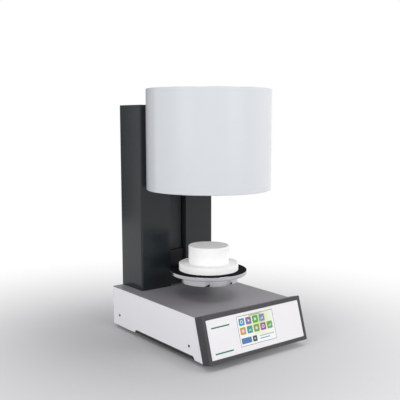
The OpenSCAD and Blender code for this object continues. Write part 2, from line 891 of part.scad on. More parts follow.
module fan_guard() {
    rings = [10, 18, 26, 34];
    color(steel) on_rear(fan_x, fan_z) difference() {
        union() {
            for (r = rings) ring(r + 1, r - 1, guard_t);
            cylinder(r = 5, h = guard_t);
            for (a = [45 : 90 : 315]) rotate([0, 0, a]) translate([0, -1.2, 0])
                cube([norm([fan_hole, fan_hole]), 2.4, guard_t]);
            at_fan_holes() cylinder(r = 4, h = guard_t);
        }
        at_fan_holes() translate([0, 0, -over]) cylinder(r = screw_hole_r, h = guard_t + 2 * over);
    }
}

// Column

module column_outline(inset) {
    w = column_w - 2 * inset;
    r = column_r - inset;
    translate([-w / 2, inset + r]) square([w, column_d - inset - r + over * sign(inset)]);
    translate([-w / 2 + r, inset]) square([w - 2 * r, r + over]);
    for (s = [-1, 1]) translate([s * (w / 2 - r), inset + r]) circle(r);
}

module column_cover() {
    color(column_grey) on_column() difference() {
        linear_extrude(column_h - cap_t) {
            difference() {
                column_outline(0);
                column_outline(cover_t);
            }
            // Walls of the channel
            translate([-channel_w / 2 - cover_t, 0]) square([channel_w + 2 * cover_t, channel_d + cover_t]);
            // Return flanges that carry the rear cover
            for (s = [-1, 1])
                translate([s * (column_w / 2 - cover_t - 6) - 6.5, column_d - 2.5 * cover_t - seat_gap])
                    square([13, cover_t]);
        }
        translate([-channel_w / 2, -over, -over]) cube([channel_w, channel_d + over, column_h + 2 * over]);
        // The carriage's webs reach in through a slot in each side wall of the channel
        translate([-channel_w / 2 - cover_t - over, slot_y, slot_low])
            cube([channel_w + 2 * cover_t + 2 * over, slot_w, slot_high - slot_low]);
        // Clearance for the bolts that carry the head
        at_head_bolts() cylinder(r = 4.5, h = 20, center = true);
        at_rear_screws() cylinder(r = screw_hole_r, h = 30, center = true);
    }
}

module column_cap() {
    color(column_grey) on_column() translate([0, 0, column_h - cap_t]) {
        linear_extrude(cap_t) column_outline(0);
        // A skirt inside the cover keeps the cap in place
        skirt_w = column_w - 2 * cover_t - 2 * seat_gap;
        skirt_d = column_d - channel_d - 3 * cover_t - cap_skirt_rear;
        translate([-skirt_w / 2, channel_d + cover_t + seat_gap, -cap_skirt_h]) difference() {
            cube([skirt_w, skirt_d, cap_skirt_h + over]);
            translate([cover_t, cover_t, -over])
                cube([skirt_w - 2 * cover_t, skirt_d - 2 * cover_t, cap_skirt_h + over]);
        }
    }
}

module at_rear_screws() {
    for (s = [-1, 1], z = [14, column_h / 2, column_h - 20])
        translate([s * (column_w / 2 - cover_t - 7), column_d, z]) rotate([-90, 0, 0]) children();
}

module column_rear_cover() {
    w = column_w - 2 * cover_t - 2 * seat_gap;
    color(column_grey) on_column() difference() {
        translate([-w / 2, column_d - cover_t, 0]) cube([w, cover_t, column_h - cap_t - seat_gap]);
        for (s = [-1, 1], i = [0 : louvre_n - 1])
            translate([s * louvre_x, column_d, louvre_z + i * louvre_pitch]) rotate([90, 0, 0])
                linear_extrude(3 * cover_t, center = true) rounded_rect(louvre_w, louvre_h, 1.9);
        at_rear_screws() cylinder(r = screw_hole_r, h = 30, center = true);
    }
}

module rear_screws() {
    color(plastic_black) on_column() at_rear_screws()
        pan_screw(screw_head_r, screw_head_h, screw_hole_r - 0.2, 6);
}

module column_frame() {
    upright_h = frame_top - 2 * frame_t;
    depth = frame_rear - frame_front;
    notch_x = channel_w / 2 + cover_t + pass_gap;
    color(steel) on_column() difference() {
        union() {
            for (z = [0, frame_top - frame_t]) translate([-frame_w / 2, frame_front, z])
                cube([frame_w, depth, frame_t]);
            both_sides() translate([0, 0, frame_t]) linear_extrude(upright_h) {
                translate([frame_w / 2 - upright_t, frame_front]) square([upright_t, depth]);
                translate([frame_w / 2 - upright_flange, frame_front]) square([upright_flange, upright_t]);
                translate([frame_w / 2 - upright_lip, frame_rear - upright_t])
                    square([upright_lip, upright_t]);
            }
        }
        // Bores for the guide rods and the upper bearing, and a way through for the coupling
        for (s = [-1, 1]) translate([s * rod_x, drive_depth, -over])
            cylinder(r = rod_r + run_gap, h = frame_top + 2 * over);
        translate([0, drive_depth, -over]) cylinder(r = coupling_r + 4, h = frame_t + 2 * over);
        translate([0, drive_depth, frame_top - frame_t - over])
            cylinder(r = bearing_r + run_gap, h = frame_t + 2 * over);
        // Both end plates are open in front, where the channel's walls stand
        for (z = [0, frame_top - frame_t]) translate([-notch_x, frame_front - over, z - over])
            cube([2 * notch_x, channel_d + cover_t + seat_gap - frame_front + over, frame_t + 2 * over]);
        at_head_bolts() cylinder(r = 4.2, h = 20, center = true);
    }
}

module screw_bridge() {
    leg_x = 24;
    color(steel) on_drive() difference() {
        union() {
            translate([-leg_x, -14, bridge_z]) cube([2 * leg_x, 28, bridge_t]);
            for (s = [-1, 1]) translate([s * (leg_x - 1.5) - 1.5, -14, frame_t])
                cube([bridge_t, 28, bridge_z - frame_t + 1]);
        }
        translate([0, 0, bridge_z - over]) cylinder(r = bearing_r + run_gap, h = bridge_t + 2 * over);
    }
}

module guide_rods() {
    color("#c4c7ca") on_drive() for (s = [-1, 1])
        translate([s * rod_x, 0, 0]) cylinder(r = rod_r, h = frame_top);
}

module screw_bearings() {
    color("#b0b3b6") on_drive() for (z = [lower_bearing_z, upper_bearing_z]) translate([0, 0, z])
        ring(bearing_r, journal_r + run_gap, bearing_h);
}

module lead_screw() {
    shoulder = lower_bearing_z + bearing_h + seat_gap;
    color("#a9adb0") on_drive() {
        translate([0, 0, shaft_r + 4])
            cylinder(r = journal_r, h = upper_bearing_z + bearing_h - shaft_r - 3);
        translate([0, 0, shoulder]) cylinder(r = screw_r, h = upper_bearing_z - seat_gap - shoulder);
    }
}

module shaft_coupling() {
    color("#c9ccd0") on_drive() translate([0, 0, coupling_z]) difference() {
        cylinder(r = coupling_r, h = coupling_h);
        translate([0, 0, -over]) cylinder(r = shaft_r + run_gap, h = coupling_h / 2 + over);
        translate([0, 0, coupling_h / 2 - over])
            cylinder(r = journal_r + run_gap, h = coupling_h / 2 + 2 * over);
        // Slits of the flexible middle
        for (i = [0 : 2]) rotate([0, 0, 120 * i]) translate([2, -coupling_r, 10 + 3 * i])
            cube([coupling_r, 2 * coupling_r, 0.8]);
    }
}

module motor_shaft() {
    color("#b9bcc0") on_drive() translate([0, 0, motor_top - 10])
        cylinder(r = shaft_r, h = shaft_r + 4 - motor_top + 9.5);
}

module lift_motor() {
    color("#2f3134") on_drive() translate([0, 0, motor_top - motor_h]) difference() {
        union() {
            linear_extrude(motor_h) rounded_rect(motor_w, motor_w, 5);
            translate([0, 0, motor_h]) cylinder(r = bearing_r, h = 2);
            translate([-8, -motor_w / 2 - 5, 3]) cube([16, 6, 8]);
        }
        translate([0, 0, motor_h - 11]) cylinder(r = shaft_r + run_gap, h = 20);
        // Joints between the end caps and the stack
        for (z = [9, motor_h - 9]) translate([0, 0, z]) difference() {
            translate([-motor_w, -motor_w, 0]) cube([2 * motor_w, 2 * motor_w, 0.8]);
            translate([0, 0, -over]) linear_extrude(3) rounded_rect(motor_w - 1, motor_w - 1, 5);
        }
    }
}

module motor_bracket() {
    leg_x = motor_w / 2 + 8;
    foot_x = leg_x + bracket_foot / 2 - bracket_t;
    color(steel) on_drive() difference() {
        union() {
            translate([-leg_x, -motor_w / 2, motor_top]) cube([2 * leg_x, motor_w, bracket_t]);
            for (s = [-1, 1]) {
                translate([s * (leg_x - bracket_t / 2) - bracket_t / 2, -motor_w / 2, motor_top])
                    cube([bracket_t, motor_w, -plate_t - motor_top]);
                translate([s * foot_x - bracket_foot / 2, -motor_w / 2, -plate_t - bracket_t])
                    cube([bracket_foot, motor_w, bracket_t]);
            }
        }
        translate([0, 0, motor_top - over]) cylinder(r = bearing_r + run_gap, h = bracket_t + 2 * over);
        for (s = [-1, 1]) translate([s * (foot_x + bracket_t / 2), 0, -plate_t - bracket_t - over])
            cylinder(r = screw_hole_r, h = bracket_t + over);
    }
}

module limit_switches() {
    body_x = carriage_w / 2 + 6;
    wall_x = frame_w / 2 - upright_t;
    flag_z = carriage_z + carriage_h / 2;
    color("#2c2d30") on_column() for (z = [flag_z, flag_z + lift_travel]) translate([0, drive_depth, z]) {
        translate([body_x, -limit_len / 2, -limit_h / 2]) cube([limit_w, limit_len, limit_h]);
        translate([body_x, -limit_plate_w / 2, -limit_h / 2 - limit_plate_t])
            cube([wall_x - body_x, limit_plate_w, limit_plate_t]);
        translate([wall_x - limit_plate_t, -limit_plate_w / 2, -2 * limit_h])
            cube([limit_plate_t, limit_plate_w, 1.5 * limit_h]);
    }
}

// Lift

module carriage() {
    reach_x = channel_w / 2 - pass_gap;
    body_y = drive_depth - carriage_d / 2;
    color("#8f9397") on_column() translate([0, 0, carriage_z]) difference() {
        union() {
            translate([-carriage_w / 2, body_y, 0]) cube([carriage_w, carriage_d, carriage_h]);
            // Webs round the channel's walls, each turned inwards through its slot
            both_sides() {
                translate([web_x, slot_y + pass_gap, 0])
                    cube([web_t, body_y - slot_y - pass_gap + over, carriage_h]);
                translate([reach_x, slot_y + pass_gap, 0])
                    cube([web_x + web_t - reach_x, web_t, carriage_h]);
            }
            // Flag for the limit switches
            translate([carriage_w / 2 - 1, drive_depth - 4, carriage_h / 2 - 2]) cube([6, 8, 4]);
        }
        for (s = [-1, 1]) translate([s * rod_x, drive_depth, -over]) {
            cylinder(r = rod_r + 2, h = carriage_h + 2 * over);
            for (z = [0, carriage_h - bush_len + over]) translate([0, 0, z])
                cylinder(r = bush_r + run_gap, h = bush_len + over);
        }
        translate([0, drive_depth, -over]) cylinder(r = nut_r + run_gap, h = carriage_h + 2 * over);
    }
}

// Four linear bushes, one in each end of the carriage's two bores
module carriage_bushes() {
    color("#b9bcbf") on_drive() for (s = [-1, 1], z = [carriage_z, carriage_z + carriage_h - bush_len])
        translate([s * rod_x, 0, z]) ring(bush_r, rod_r + run_gap, bush_len);
}

module lead_nut() {
    color("#c59b45") on_drive() translate([0, 0, carriage_z - nut_flange_t]) difference() {
        union() {
            cylinder(r = nut_flange_r, h = nut_flange_t);
            cylinder(r = nut_r, h = nut_flange_t + nut_len);
        }
        translate([0, 0, -over]) cylinder(r = screw_r + run_gap, h = nut_flange_t + nut_len + 2 * over);
        for (a = [45 : 90 : 315]) rotate([0, 0, a]) translate([(nut_r + nut_flange_r) / 2, 0, -over])
            cylinder(r = 1.6, h = nut_flange_t + 2 * over);
    }
}

module lift_arm() {
    block_w = channel_w - 2 * pass_gap;
    block_t = slot_y + pass_gap + web_t - block_depth;
    arm_len = head_reach + block_depth;
    color(column_grey) on_column() difference() {
        union() {
            translate([-block_w / 2, block_depth, block_low])
                cube([block_w, block_t, carriage_z + carriage_h - block_low]);
            translate([-arm_w / 2, block_depth - arm_len, arm_top - arm_t])
                cube([arm_w, arm_len + over, arm_t]);
            translate([0, -head_reach, arm_top - arm_t]) cylinder(r = pad_r, h = arm_t);
            translate([0, -head_reach, arm_top - 1]) cylinder(r = pad_r - 4, h = arm_drop + 1);
        }
        translate([0, -head_reach, arm_top - arm_t - over]) {
            cylinder(r = 5, h = arm_t + arm_drop + 2 * over);
            at_dish_screws() cylinder(r = dish_screw_r + seat_gap, h = arm_t + arm_drop + 2 * over);
        }
    }
}

module at_dish_screws() {
    for (a = [90 : 120 : 330]) rotate([0, 0, a]) translate([dish_screw_ring, 0, 0]) children();
}

// Screws from below, through the arm's pad into the dish
module dish_screws() {
    under = -rim_h - arm_drop - arm_t;
    color(dark_steel) at_table() at_dish_screws() translate([0, 0, under]) rotate([180, 0, 0])
        pan_screw(3.6, 2.4, dish_screw_r, arm_t + arm_drop + dish_t);
}

// Table

module dish_profile() {
    difference() {
        union() {
            translate([10, -rim_h]) square([dish_r - 10, rim_h]);
            translate([skirt_r - dish_t, -rim_h - skirt_h]) square([dish_t, skirt_h + 1]);
        }
        translate([-over, -rim_h + dish_t]) square([dish_r - dish_t + over, rim_h]);
        translate([dish_r, -rim_h]) mirror([0, 1]) shell_corner(1.2);
    }
}

module table_dish() {
    cut_x = notch_w / 2 * (notch_h + over) / notch_h;
    color(silver) at_table() difference() {
        rotate_extrude() dish_profile();
        // V notches in the skirt's lower edge, with the arm's opening between the last and the first
        for (i = [0 : 6]) rotate([0, 0, 130 + notch_step * i]) translate([skirt_r - 5, 0, -rim_h - skirt_h])
            rotate([90, 0, 90]) linear_extrude(10) polygon([[-cut_x, -over], [0, notch_h], [cut_x, -over]]);
        translate([-arm_w / 2 - pass_gap, 0, -rim_h - skirt_h - over])
            cube([arm_w + 2 * pass_gap, skirt_r + 5, skirt_h - arm_drop + over + pass_gap]);
        at_dish_screws() translate([0, 0, -rim_h - over])
            cylinder(r = dish_screw_r + seat_gap, h = dish_t + 2 * over);
    }
}

module seal_disc() {
    h = rim_h - dish_t - seat_gap;
    r = dish_r - dish_t - seat_gap;
    color(seal_black) at_table() translate([0, 0, -h]) difference() {
        union() {
            cylinder(r = r, h = h - 1);
            translate([0, 0, h - 1]) cylinder(r1 = r, r2 = r - 1, h = 1);
        }
        translate([0, 0, -over]) cylinder(r = 10, h = h + 2 * over);
    }
}

module pedestal_base() {
    edge = 0.8;
    color(fibre_white) at_table() rotate_extrude() polygon([
        [0, 0], [disc_r, 0], [disc_r, disc_h - edge], [disc_r - edge, disc_h], [0, disc_h]
    ]);
}

module pedestal_plug() {
    edge = 0.8;
    color(fibre_white) at_table() translate([0, 0, disc_h]) rotate_extrude() polygon([
        [0, 0], [plug_r, 0], [plug_r, plug_h - edge], [plug_r - edge, plug_h], [0, plug_h]
    ]);
}

// Head

module shell_corner(r) {
    difference() {
        translate([-r, -r]) square([r, r]);
        translate([-r, -r]) circle(r);
    }
}

// Half section of the shell: an upright wall with rolled edges and inward lips
module shell_profile() {
    inner_r = shell_edge_r - shell_t;
    difference() {
        square([head_r, head_h]);
        translate([-over, shell_t]) difference() {
            square([head_r - shell_t + over, head_h - 2 * shell_t]);
            translate([head_r - shell_t + over, head_h - 2 * shell_t]) shell_corner(inner_r);
            translate([head_r - shell_t + over, 0]) mirror([0, 1]) shell_corner(inner_r);
        }
        translate([-over, -over]) square([head_r - shell_lip + over, head_h + 2 * over]);
        translate([head_r, head_h]) shell_corner(shell_edge_r);
        translate([head_r, 0]) mirror([0, 1]) shell_corner(shell_edge_r);
    }
}

module head_shell() {
    color(white_paint) difference() {
        at_head() rotate_extrude() shell_profile();
        column_space(seat_gap);
    }
}

module head_top_cover() {
    z = head_h - shell_t - seat_gap - sheet_t;
    color(white_paint) at_head() translate([0, 0, z]) difference() {
        cylinder(r = head_r - shell_edge_r - 1, h = sheet_t);
        // Vent slots in three rings
        for (ring_i = [0 : 2]) for (a = [0 : 30 : 330]) rotate([0, 0, a + 15 * ring_i])
            translate([30 + 18 * ring_i, 0, -over]) linear_extrude(sheet_t + 2 * over)
                rounded_rect(4, 10 + 5 * ring_i, 1.9);
    }
}

module head_bottom_plate() {
    color(steel) difference() {
        at_head() translate([0, 0, plate_recess])
            ring(head_r - shell_edge_r - 1, mouth_r + 1, bottom_plate_t);
        column_space(seat_gap);
    }
}

module at_head_bolts() {
    for (s = [-1, 1], z = [head_z + bolt_rise, column_h - bolt_drop])
        translate([s * bolt_x, 0, z]) rotate([-90, 0, 0]) children();
}

module head_frame() {
    post_h = roof_top - muffle_z;
    color(steel) difference() {
        union() {
            difference() {
                at_head() translate([0, 0, roof_top + seat_gap])
                    ring(head_r - shell_edge_r - 1, muffle_r * 0.8, ring_t);
                translate([0, 0, ring_t + over]) column_space(pass_gap);
            }
            at_head() translate([0, 0, muffle_z]) both_sides() linear_extrude(post_h + seat_gap + 0.5) {
                translate([post_x - post_flange, head_reach - post_t - seat_gap])
                    square([post_flange, post_t]);
                translate([post_x - post_t, head_reach - seat_gap - post_t - post_web])
                    square([post_t, post_web + over]);
            }
        }
        on_column() at_head_bolts() cylinder(r = 4.2, h = 20, center = true);
    }
}

// Bolts from inside the column, through the frame and the cover into the head's posts
module head_bolts() {
    color("#7d8286") on_column() at_head_bolts() {
        translate([0, 0, -8]) cylinder(r = 3.9, h = frame_front + upright_t + 8);
        translate([0, 0, frame_front + upright_t]) cylinder(r = 7.5, h = 5, $fn = 6);
    }
}

module muffle_jacket() {
    color("#b7babd") at_head() translate([0, 0, muffle_z]) {
        ring(jacket_r, jacket_r - jacket_t, roof_top - muffle_z - seat_gap);
    }
}

module insulation_mouth() {
    color(fibre_white) at_head() translate([0, 0, muffle_z]) ring(muffle_r, mouth_r, mouth_h);
}

module insulation_wall() {
    color(fibre_white) at_head() translate([0, 0, chamber_z]) ring(muffle_r, chamber_r, chamber_h);
}

module at_elements() {
    for (i = [0 : element_n - 1]) rotate([0, 0, 360 / element_n * i]) translate([element_ring, 0, 0])
        rotate([0, 0, 90]) children();
}

module at_thermocouple() {
    rotate([0, 0, 45]) translate([element_ring, 0, 0]) children();
}

module insulation_roof() {
    color(fibre_white) at_head() difference() {
        translate([0, 0, roof_z]) cylinder(r = muffle_r, h = roof_t);
        at_elements() for (s = [-1, 1]) translate([s * element_pitch / 2, 0, roof_z - over])
            cylinder(r = terminal_r + 1, h = roof_t + 2 * over);
        at_thermocouple() translate([0, 0, roof_z - over])
            cylinder(r = thermo_r + seat_gap, h = roof_t + 2 * over);
    }
}

// U-shaped elements hang from the roof: a thin hot loop below, thick ends through the roof
module heating_elements() {
    bend_r = element_pitch / 2;
    color("#7a7470") at_head() at_elements() {
        for (s = [-1, 1]) translate([s * bend_r, 0, 0]) {
            translate([0, 0, element_low + bend_r])
                cylinder(r = element_r, h = roof_z - element_low - bend_r - 10);
            translate([0, 0, roof_z - 12]) cylinder(r1 = element_r, r2 = terminal_r, h = 4);
            translate([0, 0, roof_z - 8]) cylinder(r = terminal_r, h = element_top - roof_z + 8);
        }
        translate([0, 0, element_low + bend_r]) rotate([-90, 0, 0])
            rotate_extrude(angle = 180) translate([bend_r, 0]) circle(element_r, $fn = 32);
    }
}

// Ceramic blocks on the roof grip both ends of each element
module element_holders() {
    color("#efe9da") at_head() at_elements() translate([0, 0, roof_top])
        linear_extrude(holder_h) difference() {
            rounded_rect(element_pitch + holder_w, holder_w, 3);
            for (s = [-1, 1]) translate([s * element_pitch / 2, 0]) circle(terminal_r + run_gap);
        }
}

module thermocouple() {
    color("#e8e2d2") at_head() at_thermocouple() {
        translate([0, 0, roof_z - thermo_dip]) cylinder(r = thermo_r, h = thermo_dip + roof_t + over);
        translate([0, 0, roof_top]) cylinder(r = thermo_collar_r, h = thermo_collar_h);
        translate([0, 0, roof_top + thermo_collar_h]) cylinder(r = thermo_head_r, h = thermo_head_h);
    }
}

chassis_tray();
side_panel_left();
side_panel_right();
top_plate();
rear_panel();
rubber_feet();
panel_screws();
front_bezel();
fascia_panel();
display_window();
display_panel();
display_clamp();
control_board();
board_spacers();
mains_transformer();
transformer_clamp();
heat_sink();
power_relay();
mains_inlet();
inlet_pins();
power_switch_body();
power_rocker();
fan_frame();
fan_rotor();
fan_guard();
column_frame();
column_cover();
column_cap();
column_rear_cover();
rear_screws();
screw_bridge();
guide_rods();
lead_screw();
screw_bearings();
shaft_coupling();
motor_shaft();
lift_motor();
motor_bracket();
limit_switches();
carriage();
carriage_bushes();
lead_nut();
lift_arm();
dish_screws();
table_dish();
seal_disc();
pedestal_base();
pedestal_plug();
head_shell();
head_top_cover();
head_bottom_plate();
head_frame();
head_bolts();
muffle_jacket();
insulation_mouth();
insulation_wall();
insulation_roof();
heating_elements();
element_holders();
thermocouple();
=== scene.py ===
"""A bench furnace for dental work, dressed piece by piece round its CAD frame."""

import math

import bpy
from mathutils import Matrix, Vector


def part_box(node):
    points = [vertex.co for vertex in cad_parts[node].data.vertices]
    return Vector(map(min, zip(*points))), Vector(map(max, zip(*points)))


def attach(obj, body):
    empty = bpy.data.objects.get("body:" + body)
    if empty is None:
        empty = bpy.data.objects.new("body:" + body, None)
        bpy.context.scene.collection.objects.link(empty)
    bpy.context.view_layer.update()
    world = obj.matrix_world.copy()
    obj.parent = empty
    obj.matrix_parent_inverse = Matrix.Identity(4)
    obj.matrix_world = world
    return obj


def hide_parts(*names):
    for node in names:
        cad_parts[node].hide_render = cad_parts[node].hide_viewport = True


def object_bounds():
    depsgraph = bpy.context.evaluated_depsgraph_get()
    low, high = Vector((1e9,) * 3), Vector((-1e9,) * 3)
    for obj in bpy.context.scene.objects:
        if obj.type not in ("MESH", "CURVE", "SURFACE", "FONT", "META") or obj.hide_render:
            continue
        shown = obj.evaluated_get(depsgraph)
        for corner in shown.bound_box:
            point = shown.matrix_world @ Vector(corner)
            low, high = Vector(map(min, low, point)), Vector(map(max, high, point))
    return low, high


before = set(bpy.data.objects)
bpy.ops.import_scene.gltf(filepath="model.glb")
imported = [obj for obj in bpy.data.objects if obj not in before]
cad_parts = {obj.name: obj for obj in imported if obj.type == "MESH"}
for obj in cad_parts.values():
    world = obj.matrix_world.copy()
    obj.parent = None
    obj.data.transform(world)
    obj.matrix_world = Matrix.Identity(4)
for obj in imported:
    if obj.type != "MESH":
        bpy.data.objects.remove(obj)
cad_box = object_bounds()

# Camera: it looks down on the furnace a little, from its left front.
# The shift puts the furnace where the photograph has it.
look_down, heading = 8.196, -37.675
bpy.ops.object.camera_add(
    location=(-1.0117, -1.3072, 0.5469),
    rotation=(math.radians(90 - look_down), 0, math.radians(heading)),
)
camera = bpy.context.object
camera.data.lens = 60.495
camera.data.shift_x = -0.01
camera.data.shift_y = 0.03875
bpy.context.scene.camera = camera
bpy.context.scene.view_settings.view_transform = "Standard"

# Studio: a table covered in pale paper, in an even white room.
# Two broad lamps hang steeply above it, left and right, and three low ones fill in
# from the front and the sides.


def ink(code):
    """The linear colour of an sRGB hex code."""
    shares = [int(code[i : i + 2], 16) / 255 for i in (1, 3, 5)]
    return [s / 12.92 if s <= 0.04045 else ((s + 0.055) / 1.055) ** 2.4 for s in shares] + [1]


def feed(tree, node, inputs):
    """Gives each named input a value, or links it to an output or to a node's first output."""
    for name, value in inputs.items():
        if isinstance(value, bpy.types.Node):
            value = value.outputs[0]
        if isinstance(value, bpy.types.NodeSocket):
            tree.links.new(value, node.inputs[name])
        else:
            node.inputs[name].default_value = value


def add_node(tree, kind, inputs=(), **settings):
    """Adds a node with its settings and its inputs."""
    made = tree.nodes.new("ShaderNode" + kind)
    for name, value in settings.items():
        setattr(made, name, value)
    feed(tree, made, dict(inputs))
    return made


def seen_directly(tree):
    """1 where the camera sees a thing, also in gloss or glass, and 0 where it only sheds light."""
    ray = add_node(tree, "LightPath")
    seen = ray.outputs["Is Camera Ray"]
    for other in ("Is Glossy Ray", "Is Transmission Ray"):
        seen = add_node(tree, "Math", {0: seen, 1: ray.outputs[other]}, operation="MAXIMUM")
    return seen


room = bpy.data.worlds.new("white_room")
room.use_nodes = True
bpy.context.scene.world = room
tree = room.node_tree
air = add_node(tree, "Background", {"Color": ink("#f4f5f8"), "Strength": 0.5})
wall = add_node(tree, "Background", {"Color": (1, 1, 1, 1), "Strength": 1.0})
both = add_node(tree, "MixShader", {0: seen_directly(tree), 1: air, 2: wall})
feed(tree, tree.nodes["World Output"], {"Surface": both})

aim = Vector((0, 0, 0.3))
for name, spot, size, watts in (
    ("left_lamp", (-1.1, -0.3, 3.0), 1.0, 20),
    ("right_lamp", (0.9, -1.0, 3.0), 1.0, 27),
    ("left_fill", (-2.3, -0.4, 0.9), 1.2, 23),
    ("front_fill", (0.3, -2.3, 0.9), 1.2, 22.5),
    ("right_fill", (2.1, -0.9, 0.9), 1.2, 11),
):
    bpy.ops.object.light_add(type="AREA", location=spot)
    lamp = bpy.context.object
    lamp.name = name
    lamp.rotation_euler = (aim - Vector(spot)).to_track_quat("-Z", "Y").to_euler()
    lamp.data.size = size
    lamp.data.energy = watts
    lamp.visible_glossy = not name.endswith("fill")

# Uncoated paper: pale grey and matt. It fades to the room's white with distance, so it has no edge.
# Its grey near the furnace is painted shade round the furnace's foot
bpy.ops.mesh.primitive_plane_add(size=12, location=(0, 0, 0))
floor = bpy.context.object
floor.name = "table_paper"
paper = bpy.data.materials.new("pale_paper")
paper.use_nodes = True
tree = paper.node_tree
matt = tree.nodes["Principled BSDF"]
place = add_node(tree, "TexCoord").outputs["Object"]
near_at, near_scale = (0.11, 0.02, 0), (0.9, 0.9, 0.9)
near = add_node(tree, "Mapping", {"Vector": place, "Location": near_at, "Scale": near_scale})
shade_fade = add_node(tree, "TexGradient", {"Vector": near}, gradient_type="SPHERICAL")
span = {"Value": shade_fade, "From Min": 1.0, "From Max": 0.0}
far = add_node(tree, "MapRange", span, interpolation_type="SMOOTHSTEP")
lit = add_node(tree, "Math", {0: far, 1: seen_directly(tree)}, operation="MULTIPLY")
# The paper's grey near the furnace, darker than the white further out, is painted shade round its
# foot
feed(tree, matt, {"Base Color": ink("#adadaf"), "Roughness": 0.9})
glow = add_node(tree, "Emission", {"Color": (1, 1, 1, 1), "Strength": 1.0})
surface = add_node(tree, "MixShader", {0: lit, 1: matt, 2: glow})
feed(tree, tree.nodes["Material Output"], {"Surface": surface})
floor.data.materials.append(paper)

# Cotton cloth, woven: dull and dark. It hangs out of sight, and the head's left edge mirrors it
spot, upright, askew = (-0.3, 1.9, 0.9), math.radians(90), math.radians(8)
bpy.ops.mesh.primitive_plane_add(size=1, location=spot, rotation=(upright, 0, askew))
screen = bpy.context.object
screen.name = "dark_screen"
screen.scale = (1.65, 2.4, 1)
screen.visible_camera = False
cloth = bpy.data.materials.new("dark_cloth")
cloth.use_nodes = True
weave = cloth.node_tree.nodes["Principled BSDF"]
feed(cloth.node_tree, weave, {"Base Color": ink("#707173"), "Roughness": 1.0})
screen.data.materials.append(cloth)

# Rubber feet: four soft black feet of turned shape, moulded in nitrile rubber.
# Each has a recess in its sole, where its screw goes up into the tray.
MM = 0.001


def start_material(name, colour, roughness, metallic=0.0, sockets=()):
    """Starts a material with its plain values, and gives it with its tree and coordinates."""
    material = bpy.data.materials.new(name)
    material.use_nodes = True
    tree = material.node_tree
    shader = tree.nodes["Principled BSDF"]
    feed(tree, shader, {"Base Color": ink(colour), "Roughness": roughness, "Metallic": metallic})
    feed(tree, shader, dict(sockets))
    return material, tree, add_node(tree, "TexCoord").outputs["Object"]


def drive(tree, tones=None, relief=None, sheen=None):
    """Lets patterns drive a shader, each given with its two ends.

    They are two colours, a strength and a depth in millimetres, and two values of roughness.
    """
    shader = tree.nodes["Principled BSDF"]
    if tones:
        one, other = [ink(tone) if isinstance(tone, str) else tone for tone in tones[1:]]
        mix = add_node(tree, "MixRGB", {"Fac": tones[0], "Color1": one, "Color2": other})
        feed(tree, shader, {"Base Color": mix})
    if relief:
        height, strength, depth = relief
        raised = {"Height": height, "Strength": strength, "Distance": depth * MM}
        feed(tree, shader, {"Normal": add_node(tree, "Bump", raised)})
    if sheen:
        span = {"Value": sheen[0], "To Min": sheen[1], "To Max": sheen[2]}
        feed(tree, shader, {"Roughness": add_node(tree, "MapRange", span)})


def only(piece):
    """Makes a piece the one that is selected and active."""
    bpy.ops.object.select_all(action="DESELECT")
    piece.select_set(True)
    bpy.context.view_layer.objects.active = piece
    return piece


def settle(piece, name, matrix=None):
    """Names a piece, and puts its place into its mesh."""
    if matrix is not None:
        piece.matrix_world = matrix @ piece.matrix_world
    only(piece)
    bpy.ops.object.transform_apply(location=True, rotation=True, scale=True)
    piece.name = piece.data.name = name
    return piece


def turn(name, spot, profile, steps=96):
    """Spins a half section, (radius, height), round the upright line through a spot, in mm."""
    bpy.ops.object.select_all(action="DESELECT")
    bpy.context.tool_settings.mesh_select_mode = (True, False, False)
    start = Vector(spot) + Vector((profile[0][0], 0, profile[0][1]))
    bpy.ops.mesh.primitive_plane_add(size=MM, location=start * MM)
    piece = bpy.context.object
    bpy.ops.object.mode_set(mode="EDIT")
    bpy.ops.mesh.merge(type="CENTER")
    for (r0, z0), (r1, z1) in zip(profile, profile[1:]):
        step = ((r1 - r0) * MM, 0, (z1 - z0) * MM)
        bpy.ops.mesh.extrude_vertices_move(TRANSFORM_OT_translate={"value": step})
    bpy.ops.mesh.select_all(action="SELECT")
    bpy.ops.mesh.spin(steps=steps, angle=math.tau, center=Vector(spot) * MM, axis=(0, 0, 1))
    bpy.ops.mesh.select_all(action="SELECT")
    bpy.ops.mesh.remove_doubles(threshold=1e-6)
    bpy.ops.mesh.normals_make_consistent(inside=False)
    bpy.ops.object.mode_set(mode="OBJECT")
    return settle(piece, name)


def merge(parts, name, matrix=None):
    """Joins pieces to one that keeps the place of the first, and settles it."""
    only(parts[0])
    for part in parts:
        part.select_set(True)
    bpy.ops.object.join()
    return settle(parts[0], name, matrix)


def repeat(piece, matrices):
    """Copies a piece to each place, each copy with its own mesh, and joins them to one piece."""
    name = piece.name
    copies = []
    for matrix in matrices:
        only(piece)
        bpy.ops.object.duplicate()
        copies.append(settle(bpy.context.object, name + "_copy", matrix))
    bpy.data.objects.remove(piece)
    return merge(copies, name)


def at(x, y, z):
    """A move, in millimetres."""
    return Matrix.Translation(Vector((x, y, z)) * MM)


def smooth(piece, angle=32):
    """Shades curved faces smoothly and leaves the broad flat ones flat."""
    only(piece)
    bpy.ops.object.shade_smooth_by_angle(angle=math.radians(angle))
    weigh = piece.modifiers.new("weigh", "WEIGHTED_NORMAL")
    weigh.keep_sharp = True
    bpy.ops.object.modifier_apply(modifier=weigh.name)
    return piece


def reach(node):
    """A CAD node's lowest and highest corner, in millimetres."""
    return [[c / MM for c in corner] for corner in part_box(node)]


def clad(material, *nodes):
    """Gives CAD nodes a material."""
    for node in nodes:
        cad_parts[node].data.materials.clear()
        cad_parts[node].data.materials.append(material)


